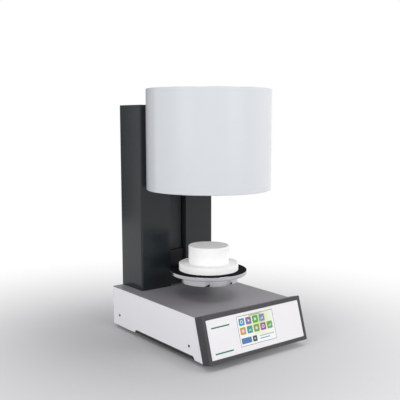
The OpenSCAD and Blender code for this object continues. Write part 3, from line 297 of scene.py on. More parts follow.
# Nitrile rubber, moulded: dull black, slightly greyer where dust lies, with a fine skin
rubber, tree, place = start_material("nitrile_rubber", "#141414", 0.75)
dust = add_node(tree, "TexNoise", {"Vector": place, "Scale": 120.0, "Detail": 4.0})
skin = add_node(tree, "TexNoise", {"Vector": place, "Scale": 1600.0, "Detail": 2.0})
drive(tree, (dust, "#0e0e0e", "#1d1d1c"), (skin, 0.2, 0.1))

low, high = reach("rubber_feet")
foot_r = 13
sole = [(0, 4.5), (4.5, 4.5), (4.5, 0.6), (5.1, 0), (10.6, 0), (11.4, 0.5)]
foot = turn("rubber_feet", (0, 0, 0), sole + [(12.8, 7.6), (12.9, 8.4), (12.3, 9), (0, 9)], 48)
xs = (low[0] + foot_r, high[0] - foot_r)
ys = (low[1] + foot_r, high[1] - foot_r)
feet = smooth(repeat(foot, [at(x, y, 0) for x in xs for y in ys]))
feet.data.materials.append(rubber)
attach(feet, "housing")
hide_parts("rubber_feet")

# Chassis tray: a folded tray of 1.5 mm sheet that carries the mains parts.
# It is powder coated in dark grey, and shows only where the side panels are cut out below.


def grain(tree, place, size, depth, strength=0.3, detail=2.0):
    """Raises a fine grain, of a size and depth in millimetres, on a shader."""
    scale = 1 / (size * MM)
    bumps = add_node(tree, "TexNoise", {"Vector": place, "Scale": scale, "Detail": detail})
    drive(tree, relief=(bumps, strength, depth))


def mottle(tree, place, size, one, other):
    """Lets the colour drift between two, in patches of a size in millimetres."""
    scale = 1 / (size * MM)
    patches = add_node(tree, "TexNoise", {"Vector": place, "Scale": scale, "Detail": 3.0})
    spread = add_node(tree, "MapRange", {"Value": patches, "From Min": 0.25, "From Max": 0.75})
    drive(tree, (spread, one, other))


def plain(name, colour, roughness, drift, skin=None, **more):
    """A material that is the same all over, but for its drift of colour and its skin's grain."""
    material, tree, place = start_material(name, colour, roughness, **more)
    mottle(tree, place, *drift)
    if skin:
        grain(tree, place, *skin)
    return material


# Powder coat on steel, baked: dark grey, half matt, with the fine dimples of melted powder
dark_coat = plain("dark_powder_coat", "#1e2022", 0.45, (60, "#1c1e20", "#222426"), (0.9, 0.03))
clad(dark_coat, "chassis_tray")

# Electrics: control board, mains transformer, and a power relay on its heat sink.
# They are bought parts that stand in the tray, and the covers hide them.

# Epoxy laminate with green solder mask; what stands on the board is black, blue and white plastic
laminate, tree, place = start_material("board_laminate", "#14562f", 0.35)
height = add_node(tree, "SeparateXYZ", {"Vector": place}).outputs["Z"]
laminate_t = 1.65
board_top = reach("control_board")[0][2] + laminate_t
above = add_node(tree, "Math", {0: height, 1: board_top * MM}, operation="GREATER_THAN")
cells = add_node(tree, "TexVoronoi", {"Vector": place, "Scale": 26.0})
kinds = add_node(tree, "ValToRGB", {"Fac": cells.outputs["Color"]})
kinds.color_ramp.interpolation = "CONSTANT"
kinds.color_ramp.elements[0].color = ink("#1b1c1f")
kinds.color_ramp.elements[1].color = ink("#2b4f8e")
kinds.color_ramp.elements[1].position = 0.66
greens = {"Color1": ink("#13522c"), "Color2": ink("#17633a"), "Mortar": ink("#1f7a48")}
tracks = add_node(tree, "TexBrick", {"Vector": place, "Scale": 160.0, **greens})
drive(tree, (above, tracks, kinds))
clad(laminate, "control_board")

# Enamelled copper wire wound round a ring core: thin glossy turns, 1.2 mm apart, varnished clear.
# The grooves between the turns are darkened in the colour: painted shade
winding, tree, place = start_material(
    "enamelled_copper", "#a3561f", 0.3, 0.6, {"Coat Weight": 0.4}
)
low, high = reach("mains_transformer")
core = [-(a + b) / 2 * MM for a, b in zip(low, high)]
own = add_node(tree, "Mapping", {"Vector": place, "Location": core})
sweep = add_node(tree, "TexGradient", {"Vector": own}, gradient_type="RADIAL")
wire_turns = 290
phase = add_node(tree, "Math", {0: sweep, 1: wire_turns * math.tau}, operation="MULTIPLY")
turns = add_node(tree, "Math", {0: phase}, operation="SINE")
# Dark where the turns dip: painted shade in the grooves
drive(tree, (turns, "#7a3c14", "#c27434"), (turns, 0.5, 0.3))
clad(winding, "mains_transformer")

# Zinc-coated sheet steel: mid grey, with the broad spangle that the zinc bath leaves
zinc_sheet, tree, place = start_material("zinc_sheet", "#8d9296", 0.42, 1.0)
spangle = add_node(tree, "TexVoronoi", {"Vector": place, "Scale": 110.0})
tone = add_node(tree, "ValToRGB", {"Fac": spangle.outputs["Color"]})
tone.color_ramp.elements[0].color = ink("#84898d")
tone.color_ramp.elements[1].color = ink("#a4a8ab")
feed(tree, tree.nodes["Principled BSDF"], {"Base Color": tone})
grain(tree, place, 1.5, 0.01)
clad(zinc_sheet, "transformer_clamp", "display_clamp", "column_frame", "screw_bridge")
clad(zinc_sheet, "motor_bracket")

# Extruded aluminium, clear anodised: pale grey metal with die lines 0.4 mm apart along its length
extruded, tree, place = start_material("anodised_aluminium", "#a9adb1", 0.38, 1.0)
lines = add_node(tree, "Mapping", {"Vector": place, "Scale": (2500, 20, 2500)})
drawn = add_node(tree, "TexNoise", {"Vector": lines, "Scale": 1.0, "Detail": 1.0})
drive(tree, relief=(drawn, 0.25, 0.1))
mottle(tree, place, 30, "#a4a8ac", "#b0b4b7")
clad(extruded, "heat_sink", "shaft_coupling")

# Glass-filled nylon, moulded: black, half matt, with a faintly uneven skin
black_nylon = plain("black_nylon", "#1a1b1d", 0.48, (12, "#17181a", "#1f2023"), (0.35, 0.02))
clad(black_nylon, "power_relay", "display_panel", "limit_switches", "fan_frame")

# Brass, turned: warm yellow metal with turning marks a third of a millimetre apart
brass, tree, place = start_material("turned_brass", "#c39a4a", 0.32, 1.0)
marks = {"Vector": place, "Scale": 950.0, "Distortion": 0.6}
rings = add_node(tree, "TexWave", marks, bands_direction="Z")
drive(tree, relief=(rings, 0.2, 0.1))
mottle(tree, place, 8, "#b98f42", "#cba455")
clad(brass, "board_spacers", "lead_nut")

# Side panels: a panel of 1.5 mm steel sheet on each side, folded inwards along its top.
# Its lower edge is cut out for cooling air, and two screws hold it to the tray.


def block(name, low, high):
    """A box from one corner to the other, in millimetres."""
    bpy.ops.object.select_all(action="DESELECT")
    middle = [(a + b) / 2 * MM for a, b in zip(low, high)]
    extent = [(b - a) * MM for a, b in zip(low, high)]
    bpy.ops.mesh.primitive_cube_add(size=1, location=middle, scale=extent)
    return settle(bpy.context.object, name)


def pick(piece, kind, test):
    """Opens a piece for editing, with the corners, edges or faces selected that pass the test."""
    only(piece)
    mesh = piece.data
    bpy.context.tool_settings.mesh_select_mode = [kind == k for k in ("VERT", "EDGE", "FACE")]
    for part in (*mesh.vertices, *mesh.edges, *mesh.polygons):
        part.select = False
    parts = {"VERT": mesh.vertices, "EDGE": mesh.edges, "FACE": mesh.polygons}[kind]
    for part in parts:
        ends = [part.co] if kind == "VERT" else [mesh.vertices[v].co for v in part.vertices]
        part.select = bool(test([Vector(end) / MM for end in ends]))
    bpy.ops.object.mode_set(mode="EDIT")


def done():
    """Closes a piece after editing."""
    bpy.ops.object.mode_set(mode="OBJECT")


def along(axis, *limits):
    """A test for edges along an axis, with their middle inside the limits given per axis."""

    def test(ends):
        run = ends[1] - ends[0]
        middle = (ends[0] + ends[1]) / 2
        straight = all(abs(run[i]) < 0.01 for i in range(3) if i != axis)
        return straight and all(lo <= middle[i] <= hi for i, lo, hi in limits)

    return test


def round_off(piece, test, radius, segments=6):
    """Rounds the edges that pass the test."""
    pick(piece, "EDGE", test)
    bpy.ops.mesh.bevel(offset=radius * MM, segments=segments, affect="EDGES")
    done()
    return piece


def slice_off(piece, point, outward):
    """Cuts a piece along a plane through a point, in millimetres, and closes the cut."""
    pick(piece, "FACE", lambda ends: True)
    point = [c * MM for c in point]
    bpy.ops.mesh.bisect(plane_co=point, plane_no=outward, use_fill=True, clear_outer=True)
    done()


def join_in(piece, operation, *others):
    """Cuts other forms out of a piece, or welds them to it."""
    for other in others:
        only(piece)
        cut = piece.modifiers.new("cut", "BOOLEAN")
        cut.operation = operation
        cut.solver = "EXACT"
        cut.object = other
        bpy.ops.object.modifier_apply(modifier=cut.name)
        bpy.data.objects.remove(other)
    return piece


def soften(piece, width=0.4, segments=2, angle=40):
    """Breaks a piece's sharp edges, as tumbling or paint does, and shades it."""
    only(piece)
    edge = piece.modifiers.new("edge", "BEVEL")
    edge.width = width * MM
    edge.segments = segments
    edge.limit_method = "ANGLE"
    edge.angle_limit = math.radians(angle)
    bpy.ops.object.modifier_apply(modifier=edge.name)
    return smooth(piece)


# White powder coat on steel, baked: cool white, half gloss, with a soft orange peel of 2.5 mm
cool_white = (120, "#e8e7e9", "#ebeaec")
orange_peel = (2.5, 0.02, 0.25)
white_coat = plain(
    "white_powder_coat", "#e9e8ea", 0.34, cool_white, orange_peel, sockets={"IOR": 1.5}
)

low, high = reach("side_panel_right")
sheet_t, fold_w, fold_r, face_lean = 1.5, 12, 1.8, 16.8
front_leg, rear_leg, gap_h, slope = 39.7, 103, 8, 7
side = block("side_panel_right", (high[0] - fold_w, low[1], low[2]), high)
inner_low = (high[0] - fold_w - 1, low[1] - 1, low[2] - 1)
inner = block("inside", inner_low, (high[0] - sheet_t, high[1] + 1, high[2] - sheet_t))
join_in(side, "DIFFERENCE", inner)
slice_off(side, (0, low[1], low[2]), (0, -1, math.tan(math.radians(face_lean))))
gap_front, gap_rear = low[1] + front_leg, high[1] - rear_leg
gap_low = (high[0] - 3, gap_front - 1, low[2] - 1)
air_gap = block("air_gap", gap_low, (high[0] + 1, gap_rear + 1, low[2] + gap_h))
for end, way in ((gap_front, 1), (gap_rear, -1)):
    pick(air_gap, "VERT", lambda ends: ends[0].z > low[2] and abs(ends[0].y - end) < 3)
    bpy.ops.transform.translate(value=(0, way * (slope + 1) * MM, 0))
    done()
join_in(side, "DIFFERENCE", air_gap)
outer_edge = along(1, (0, high[0] - 0.1, high[0] + 1), (2, high[2] - 0.1, high[2] + 1))
round_off(side, outer_edge, fold_r, 5)
soften(side, 0.3)
side.data.materials.append(white_coat)
only(side)
bpy.ops.object.duplicate()
other_side = bpy.context.object
other_side.scale.x = -1
settle(other_side, "side_panel_left")
pick(other_side, "FACE", lambda ends: True)
bpy.ops.mesh.normals_make_consistent(inside=False)
done()
smooth(other_side)
for panel, node in ((side, "side_panel_right"), (other_side, "side_panel_left")):
    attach(panel, "housing")
    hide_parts(node)

# Panel screws: pan-head screws with a hexagon socket, of blackened steel.
# Their heads stand on the panels, low on each side.


def pan_screw(name, head_r, head_h, shank_r, length):
    """A screw with its head on Z = 0, pointing down, with a hexagon socket."""
    dome = [(0, head_h), (head_r * 0.72, head_h), (head_r * 0.9, head_h * 0.82)]
    dome += [(head_r, head_h * 0.35), (head_r, 0)]
    screw = turn(name, (0, 0, 0), dome + [(shank_r, 0), (shank_r, -length), (0, -length)], 32)
    bpy.ops.mesh.primitive_cylinder_add(
        vertices=6, radius=head_r * 0.5 * MM, depth=head_h * 1.4 * MM, location=(0, 0, head_h * MM)
    )
    socket = settle(bpy.context.object, "socket")
    return smooth(join_in(screw, "DIFFERENCE", socket))


# Blackened steel: near black with a slight oily gloss, greyer in small patches
oily_black = (2, "#0f0f10", "#1b1c1e")
black_oxide = plain("blackened_steel", "#121214", 0.45, oily_black, (0.3, 0.02), metallic=0.3)

low, high = reach("panel_screws")
cad_head_r = 2.6
across = [Matrix.Rotation(math.radians(s * 90), 4, "Y") for s in (-1, 1)]
wall_x, screw_z = reach("side_panel_right")[1][0], (low[2] + high[2]) / 2
spots = [(s, y) for s in (-1, 1) for y in (low[1] + cad_head_r, high[1] - cad_head_r)]
screw = pan_screw("panel_screws", head_r=3, head_h=1.2, shank_r=1.8, length=8)
screws = repeat(screw, [at(s * wall_x, y, screw_z) @ across[s > 0] for s, y in spots])
screws.data.materials.append(black_oxide)
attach(screws, "housing")
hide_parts("panel_screws")

# Top plate: a 2 mm steel plate that closes the base, with holes under the column for the drive.
# It is sprayed in a satin mid grey with a fine texture, and its edges are broken.

# Satin textured lacquer: mid grey, half matt, with the even 0.8 mm pimples of a structure paint
mid_grey, pimples = (160, "#7e7c80", "#838185"), (0.8, 0.04, 0.35)
dull = {"Specular IOR Level": 0.35}
satin_grey = plain("satin_structure_lacquer", "#807e82", 0.5, mid_grey, pimples, sockets=dull)

low, high = reach("top_plate")
plate = block("top_plate", low, high)
drive_y = sum(c[1] for c in reach("lead_screw")) / 2
rod_x, rod_hole_r, screw_hole_r = 70, 12, 14
under, over = low[2] - 2, high[2] + 2
for x, hole_r in ((0, screw_hole_r), (-rod_x, rod_hole_r), (rod_x, rod_hole_r)):
    through = [(0, under), (hole_r, under), (hole_r, over), (0, over)]
    join_in(plate, "DIFFERENCE", turn("hole", (x, drive_y, 0), through))
soften(plate, 0.5)
plate.data.materials.append(satin_grey)
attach(plate, "housing")
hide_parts("top_plate")

# Rear panel: a sheet with the openings for the fan, the mains inlet and the power switch.
# It is screwed in between the side panels and coated like the tray.


def copy_of(node, name):
    """A CAD node's form as a mesh of whole faces, to be worked on."""
    only(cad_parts[node])
    bpy.ops.object.duplicate()
    piece = bpy.context.object
    for tag in [k for k in piece.keys() if k.startswith("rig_")]:
        del piece[tag]
    piece.parent = None
    piece.data.materials.clear()
    bpy.ops.object.mode_set(mode="EDIT")
    bpy.ops.mesh.select_all(action="SELECT")
    bpy.ops.mesh.remove_doubles(threshold=2e-6)
    bpy.ops.mesh.customdata_custom_splitnormals_clear()
    bpy.ops.mesh.dissolve_limited(angle_limit=math.radians(0.5))
    bpy.ops.object.mode_set(mode="OBJECT")
    return settle(piece, name)


panel = soften(copy_of("rear_panel", "back_panel"), 0.3)
panel.data.materials.append(dark_coat)
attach(panel, "housing")
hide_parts("rear_panel")

# Fan guard: rings of 1.6 mm steel wire welded to four spokes, nickel plated.
# It is screwed over the fan's opening, outside the rear panel.

# Nickel plate on steel wire: bright, slightly warm metal, a little cloudy
nickel, tree, place = start_material("nickel_plate", "#b9b6ae", 0.22, 1.0)
cloud = add_node(tree, "TexNoise", {"Vector": place, "Scale": 220.0, "Detail": 3.0})
drive(tree, sheen=(cloud, 0.16, 0.32))
clad(nickel, "inlet_pins")


def hoop(radius, wire, steps):
    """A ring of round wire, in millimetres."""
    bpy.ops.mesh.primitive_torus_add(
        major_radius=radius * MM, minor_radius=wire * MM, major_segments=steps, minor_segments=12
    )
    return bpy.context.object


low, high = reach("fan_guard")
fan_x, fan_z = (low[0] + high[0]) / 2, (low[2] + high[2]) / 2
wire_r, eye, eye_r = 0.8, 35.75, 3.1
outward = at(fan_x, low[1] + wire_r, fan_z) @ Matrix.Rotation(math.radians(-90), 4, "X")
wires = [settle(hoop(ring_r, wire_r, 72), "wire", outward) for ring_r in (10, 18, 26, 34)]
spoke_l = 2 * (eye * math.sqrt(2) - 4)
for angle in (45, 135):
    bpy.ops.mesh.primitive_cylinder_add(
        vertices=12, radius=wire_r * 0.98 * MM, depth=spoke_l * MM
    )
    lay = Matrix.Rotation(math.radians(angle), 4, "Z") @ Matrix.Rotation(math.radians(90), 4, "Y")
    wires.append(settle(bpy.context.object, "wire", outward @ lay))
for sx, sy in ((-1, -1), (-1, 1), (1, -1), (1, 1)):
    wires.append(settle(hoop(eye_r, 0.78, 32), "wire", outward @ at(sx * eye, sy * eye, 0)))
guard = smooth(merge(wires, "wire_guard"), angle=50)
guard.data.materials.append(nickel)
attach(guard, "housing")
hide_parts("fan_guard")

# Fan: an 80 mm axial fan of black glass-filled nylon, with a seven-bladed rotor on its hub.
# The rotor is moulded in one, and turns in the frame behind the guard.

# Nylon, moulded and lightly polished by the air: dark grey with a soft shine
blade_nylon = plain("rotor_nylon", "#26272a", 0.35, (10, "#242528", "#2b2c30"), (0.4, 0.02))
clad(blade_nylon, "fan_rotor")

# Mains inlet and power switch: moulded fittings that snap into the rear panel.
# The inlet has three flat pins in its recess, and the rocker a mark for on and one for off.

# The same nylon with its marks pad-printed in white: a bar for on and a ring for off
marked_nylon, tree, place = start_material("marked_nylon", "#1a1b1d", 0.48)
low, high = reach("power_rocker")
key_x, key_z = [-(low[i] + high[i]) / 2 * MM for i in (0, 2)]
mark_rise, mark_r, bar_half, line_half = (high[2] - low[2]) / 4, 1.5, 1.8, 0.3
bar_own, ring_own = [
    add_node(tree, "Mapping", {"Vector": place, "Location": (key_x, 0, z), "Scale": (1, 0, 1)})
    for z in (key_z - mark_rise * MM, key_z + mark_rise * MM)
]
radius = add_node(tree, "VectorMath", {0: ring_own}, operation="LENGTH").outputs["Value"]
bar = add_node(tree, "SeparateXYZ", {"Vector": bar_own}).outputs
ring_mark, bar_x, bar_z = [
    add_node(tree, "Math", {0: value, 1: middle * MM, 2: half * MM}, operation="COMPARE")
    for value, middle, half in (
        (radius, mark_r, line_half),
        (bar["X"], 0, line_half),
        (bar["Z"], 0, bar_half),
    )
]
bar_mark = add_node(tree, "Math", {0: bar_x, 1: bar_z}, operation="MULTIPLY")
marks = add_node(tree, "Math", {0: ring_mark, 1: bar_mark}, operation="MAXIMUM")
drive(tree, (marks, "#1b1c1e", "#e6e6e6"))
grain(tree, place, 0.35, 0.02)

for node, name, edge in (
    ("mains_inlet", "mains_inlet_body", 0.6),
    ("power_switch_body", "switch_frame", 0.4),
    ("power_rocker", "rocker_key", 0.6),
):
    fitting = soften(copy_of(node, name), edge)
    fitting.data.materials.append(marked_nylon if node == "power_rocker" else black_nylon)
    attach(fitting, "power_rocker" if node == "power_rocker" else "housing")
    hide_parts(node)

# Front bezel: a thick moulded frame of dark grey ABS that leans back, wider than the base.
# Its outer edges are broken, and a shallow recess takes the front panel.

# ABS, moulded in an eroded tool: dark warm grey, half matt, with a fine 0.5 mm texture
warm_grey, eroded = (90, "#343336", "#373639"), (0.5, 0.03)
dark_abs = plain("dark_abs", "#353437", 0.5, warm_grey, eroded, sockets={"IOR": 1.54})

front_y, face_foot = cad_box[0].y / MM, 16.3
leaning = math.radians(90 - face_lean)
on_face = at(0, front_y, face_foot) @ Matrix.Rotation(leaning, 4, "X")
face_w, face_h, face_t = 300, 107.52, 26.4
panel_w, panel_h, panel_mid, panel_t = 282.4, 88.02, 53.31, 3
screen_w, screen_h, screen_mid = 110.4, 68.9, 56.17
wall_t, rail_t, front_t = 12, 5, 6


def face_block(name, w, h, middle, low, high):
    """A box on the leaning face: its width, height and middle up the face, and its two depths."""
    return block(name, (-w / 2, middle - h / 2, low), (w / 2, middle + h / 2, high))


bezel = face_block("front_bezel", face_w, face_h, face_h / 2, -face_t, 0)
round_off(bezel, along(2), 3, 6)
hollow_w, hollow_h = face_w - 2 * wall_t, face_h - 2 * rail_t
hollow = face_block("hollow", hollow_w, hollow_h, face_h / 2, -face_t - 1, -front_t)
recess = face_block("recess", panel_w + 0.6, panel_h + 0.6, panel_mid, -panel_t, 1)
opening = face_block("opening", screen_w + 11, screen_h + 11, screen_mid, -20, 1)
join_in(bezel, "DIFFERENCE", hollow, recess, opening)
slice_off(bezel, (0, 2, -face_t), (0, -1, -1))
soften(bezel, 0.9, 3)
settle(bezel, "front_bezel", on_face)
bezel.data.materials.append(dark_abs)
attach(bezel, "housing")
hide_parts("front_bezel")

# Front panel: a white polyester film on a 3 mm board, let into the bezel round the screen.
# Two plain green stripes are printed on its left part, and nothing else.


def patch(tree, place, x, y, half_w, half_h):
    """1 in a rectangle round a middle on the leaning face, in millimetres, and 0 elsewhere."""
    split = add_node(tree, "SeparateXYZ", {"Vector": place}).outputs
    across, up = [
        add_node(tree, "Math", {0: value, 1: middle * MM, 2: half * MM}, operation="COMPARE")
        for value, middle, half in ((split["X"], x, half_w), (split["Y"], y, half_h))
    ]
    return add_node(tree, "Math", {0: across, 1: up}, operation="MULTIPLY")


# Polyester film, printed on its back: clean white, softly glossy, with a barely visible ripple
white_film, tree, place = start_material(
    "white_polyester_film", "#dcdadc", 0.24, 0.0, {"IOR": 1.57}
)
face_foot_at = {"Location": on_face.to_translation(), "Rotation": (leaning, 0, 0)}
turned = add_node(tree, "Mapping", {"Vector": place, **face_foot_at}, vector_type="TEXTURE")
stripe_x, stripe_half, stripe_t = -104, 26, 1.6
upper, lower = [patch(tree, turned, stripe_x, y, stripe_half, stripe_t) for y in (78, 21)]
stripes = add_node(tree, "Math", {0: upper, 1: lower}, operation="MAXIMUM")
ripple = add_node(tree, "TexNoise", {"Vector": place, "Scale": 14.0})
whites = {"Fac": ripple, "Color1": ink("#dad8da"), "Color2": ink("#dedcde")}
drive(tree, (stripes, add_node(tree, "MixRGB", whites), "#0f6e4a"))
grain(tree, place, 8, 0.01, 0.2)

film = face_block("fascia_panel", panel_w, panel_h, panel_mid, -panel_t, 0)
round_off(film, along(2), 1.5, 4)
window = face_block("window", screen_w, screen_h, screen_mid, -panel_t - 1, 1)
round_off(window, along(2), 1, 4)
join_in(film, "DIFFERENCE", window)
soften(film, 0.3)
settle(film, "front_film", on_face)
film.data.materials.append(white_film)
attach(film, "housing")
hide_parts("fascia_panel")

# Touch screen: a glass pane with a thin dark border, over a lit 5 inch display.
# The display shows plain coloured keys of one size, each with a simple sign of its own.

# Float glass, bonded: smooth and glossy. The lit picture below shows through it, pale as the film
pane_glass, tree, place = start_material(
    "lit_glass", "#000000", 0.08, 0.0, {"IOR": 1.52, "Emission Strength": 0.97}
)
border = 1.1
screen_at = {"Location": on_face @ Vector((0, screen_mid * MM, 0)), "Rotation": (leaning, 0, 0)}
turned = add_node(tree, "Mapping", {"Vector": place, **screen_at}, vector_type="TEXTURE")
inside = patch(tree, turned, 0, 0, screen_w / 2 - border, screen_h / 2 - border)
glow_spot = {"Vector": turned, "Location": (-0.2, -0.4, 0), "Scale": (21, 24, 21)}
glow_at = add_node(tree, "Mapping", glow_spot)
lime = add_node(tree, "TexGradient", {"Vector": glow_at}, gradient_type="SPHERICAL")
backdrop = {"Fac": lime, "Color1": ink("#f3f5f3"), "Color2": ink("#cddd6e")}
framed = {"Fac": inside, "Color1": ink("#6a6e74"), "Color2": add_node(tree, "MixRGB", backdrop)}
lit = {"Emission Color": add_node(tree, "MixRGB", framed)}
feed(tree, tree.nodes["Principled BSDF"], lit)

pane = face_block("pane", screen_w - 0.8, screen_h - 0.8, screen_mid, -panel_t, -0.2)
round_off(pane, along(2), 0.8, 3)
soften(pane, 0.2)
settle(pane, "screen_pane", on_face)
pane.data.materials.append(pane_glass)
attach(pane, "housing")
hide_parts("display_window")

# Liquid-crystal picture: flat lit colours, each key with its own, kept in the mesh's colours
lit_keys, tree, place = start_material(
    "lit_picture", "#000000", 0.12, 0.0, {"Emission Strength": 0.8}
)
colours = add_node(tree, "Attribute", attribute_name="key_colour").outputs["Color"]
dots = add_node(tree, "TexNoise", {"Vector": place, "Scale": 900.0})
shade = add_node(tree, "MixRGB", {"Fac": 0.08, "Color1": colours, "Color2": dots})
feed(tree, tree.nodes["Principled BSDF"], {"Emission Color": shade})


def tint(part, colour):
    """Gives a part of the picture its colour."""
    part.data.color_attributes.new("key_colour", "FLOAT_COLOR", "CORNER")
    for corner in part.data.color_attributes["key_colour"].data:
        corner.color = ink(colour)
    return part


def key_plate(x, y, w, h, colour, lift=0.05):
    """A thin plate with round corners on the screen, seen from its front."""
    part = block("key", (x - w / 2, y - h / 2, 0), (x + w / 2, y + h / 2, lift))
    return tint(round_off(part, along(2), min(w, h) * 0.12, 3), colour)


def key_disc(x, y, size, colour, lift, sides, turn_by=0):
    """A thin disc with few or many sides on the screen, seen from its front."""
    bpy.ops.mesh.primitive_cylinder_add(
        vertices=sides,
        radius=size / 2 * MM,
        depth=lift * MM,
        location=(x * MM, y * MM, lift / 2 * MM),
        rotation=(0, 0, math.radians(turn_by)),
    )
    return tint(settle(bpy.context.object, "key"), colour)


parts = []
sign_white, sign_lift, key_size, key_pitch, first_x, top_y = "#eef2f2", 0.08, 16.5, 20.5, -42, 20.5
signs = (
    ("#2f9fd0", "disc", 32),
    ("#8f6cb8", "disc", 3),
    ("#4bb04a", "disc", 4),
    ("#7d92cf", "bars", 3),
    ("#e2a03a", "disc", 6),
    ("#38a39b", "bars", 2),
    ("#7fa82e", "disc", 5),
    ("#a0489c", "disc", 32),
    ("#5fb545", "bars", 4),
)
for i, (colour, sign, count) in enumerate(signs):
    row, column = (0, i) if i < 4 else (1, i - 4)
    x, y = first_x + key_pitch * column, top_y - key_pitch * row
    parts.append(key_plate(x, y, key_size, key_size, colour))
    if sign == "disc":
        parts.append(key_disc(x, y, 8.5, sign_white, sign_lift, count, 90 + 180 / count))
        if count == 32:
            parts.append(key_disc(x, y, 4.5, colour, 0.1, count))
    else:
        for n in range(count):
            bar_x, bar_h = x + (n - (count - 1) / 2) * 9 / count, 3 + 1.3 * n
            bar_y = y - 3 + (2 + 1.3 * n) / 2
            parts.append(key_plate(bar_x, bar_y, 5.5 / count, bar_h, sign_white, sign_lift))
for x, y, w, h, colour in (
    (-36, -22.5, 30, 13, "#3f7fbf"),
    (-11, -22.5, 13, 13, "#33414d"),
    (27, -19.5, 44, 2.2, "#b9c2c6"),
    (20, -25.5, 30, 2.2, "#5aa7d6"),
    (0, 31.2, 36, 1.8, "#9fb23e"),
):
    parts.append(key_plate(x, y, w, h, colour))
parts.append(key_disc(-11, -22.5, 6, sign_white, sign_lift, 3, 30))
keys = merge(parts, "screen_keys", on_face @ at(0, screen_mid, -0.19))
keys.data.materials.append(lit_keys)
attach(keys, "housing")

# Column drive: a welded frame of steel plate, two ground rods and a lead screw on ball bearings.
# The motor under the top plate turns the screw through a slit coupling.

# Hardened steel, ground: bright metal with fine rings round each rod
ground_steel, tree, place = start_material("ground_steel", "#b7babd", 0.2, 1.0)
wheel_marks = {"Vector": place, "Scale": 420.0, "Distortion": 1.5}
bands = add_node(tree, "TexWave", wheel_marks, bands_direction="Z")
drive(tree, sheen=(bands, 0.15, 0.27))
mottle(tree, place, 20, "#b2b5b8", "#bec1c3")
clad(ground_steel, "guide_rods", "screw_bearings", "motor_shaft", "carriage_bushes")

# Rolled lead screw: ten millimetres of travel a turn in five starts, with bright flanks and roots
# darkened in the colour as painted shade
thread_steel, tree, place = start_material("rolled_thread", "#9ba0a4", 0.26, 1.0)
low, high = reach("lead_screw")
turns_per_m, starts = 100, 5
axis_at = (0, -(low[1] + high[1]) / 2 * MM, 0)
own = add_node(tree, "Mapping", {"Vector": place, "Location": axis_at})
sweep = add_node(tree, "TexGradient", {"Vector": own}, gradient_type="RADIAL")
height = add_node(tree, "SeparateXYZ", {"Vector": own}).outputs["Z"]
rise = add_node(tree, "Math", {0: height, 1: turns_per_m}, operation="MULTIPLY")
ahead = add_node(tree, "Math", {0: rise, 1: sweep}, operation="SUBTRACT")
phase = add_node(tree, "Math", {0: ahead, 1: starts * math.tau}, operation="MULTIPLY")
flank = add_node(tree, "Math", {0: phase}, operation="SINE")
# The colour goes dark in the thread's roots: painted shade
drive(tree, (flank, "#4e5255", "#b0b4b7"), (flank, 0.8, 0.6))
clad(thread_steel, "lead_screw")

# Motor: laminated stack between two black end caps, fine sheets half a millimetre apart
laminated, tree, place = start_material("laminated_stack", "#303236", 0.45, 0.4)
sheets = add_node(tree, "TexWave", {"Vector": place, "Scale": 320.0}, bands_direction="Z")
drive(tree, (sheets, "#26282b", "#3b3e42"))
clad(laminated, "lift_motor")

# Column cover: 2 mm steel sheet, bent to a tall box with round front corners.
# A channel runs up its front, with a slot in each of its side walls for the lift's two webs.

# Gloss lacquer on sheet steel: blue-black grey, smooth, with a long soft ripple of 14 mm
lacquer = {"IOR": 1.5, "Specular IOR Level": 0.33}
blue_black, long_ripple = (200, "#23282a", "#262b2d"), (14, 0.02, 0.2, 0.0)
gloss_lacquer = plain(
    "dark_gloss_lacquer", "#24292b", 0.16, blue_black, long_ripple, sockets=lacquer
)

# The same lacquer with a satin skin on the channel's back: paler, without gloss. Its paler colour
# is painted light in that recess
painted_light_grey, scratches = (200, "#3b3f41", "#3e4244"), (1.2, 0.02)
satin_lacquer = plain("dark_satin_lacquer", "#3c4042", 0.55, painted_light_grey, scratches, sockets=lacquer)

low, high = reach("column_cover")
skin_t, corner_r, channel_w, channel_d, slot_w, past = 2, 5, 50.6, 21.7, 5, 9
slot_low, slot_high, slot_rear = low[2] + 39, low[2] + 303, low[1] + channel_d
cover = block("column_cover", low, high)
round_off(cover, along(2, (1, low[1] - 1, low[1] + 1)), corner_r, 8)
inner_low = (low[0] + skin_t, low[1] + skin_t, low[2] - 5)
inner = block("inner", inner_low, (high[0] - skin_t, high[1] + 5, high[2] + 5))
round_off(inner, along(2, (1, low[1], low[1] + 3)), corner_r - skin_t, 6)
half, walls_rear = channel_w / 2 + skin_t, low[1] + channel_d + skin_t
walls = block("walls", (-half, low[1] - 1, low[2] - past), (half, walls_rear, high[2] + past))
join_in(inner, "DIFFERENCE", walls)
half = channel_w / 2
channel = block("channel", (-half, low[1] - 2, low[2] - past), (half, slot_rear, high[2] + past))
slots = block("slots", (-half - 5, slot_rear - slot_w, slot_low), (half + 5, slot_rear, slot_high))
join_in(cover, "DIFFERENCE", inner, channel, slots)
flange_w, flange_t = 13, 2
for s in (-1, 1):
    flange_x, flange_y = s * (high[0] - skin_t - 6), high[1] - 5.3
    flange_low = (flange_x - flange_w / 2, flange_y, low[2])
    flange = block("flange", flange_low, (flange_x + flange_w / 2, flange_y + flange_t, high[2]))
    join_in(cover, "UNION", flange)
soften(cover, 0.5, 2)
cover.data.materials.append(gloss_lacquer)
cover.data.materials.append(satin_lacquer)
# The channel's back gets the paler satin lacquer: painted light in the recess
for face in cover.data.polygons:
    middle = face.center / MM
    if abs(middle.x) < half - 1 and face.normal.y < -0.9 and middle.y > slot_rear - 1:
        face.material_index = 1
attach(cover, "housing")
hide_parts("column_cover")

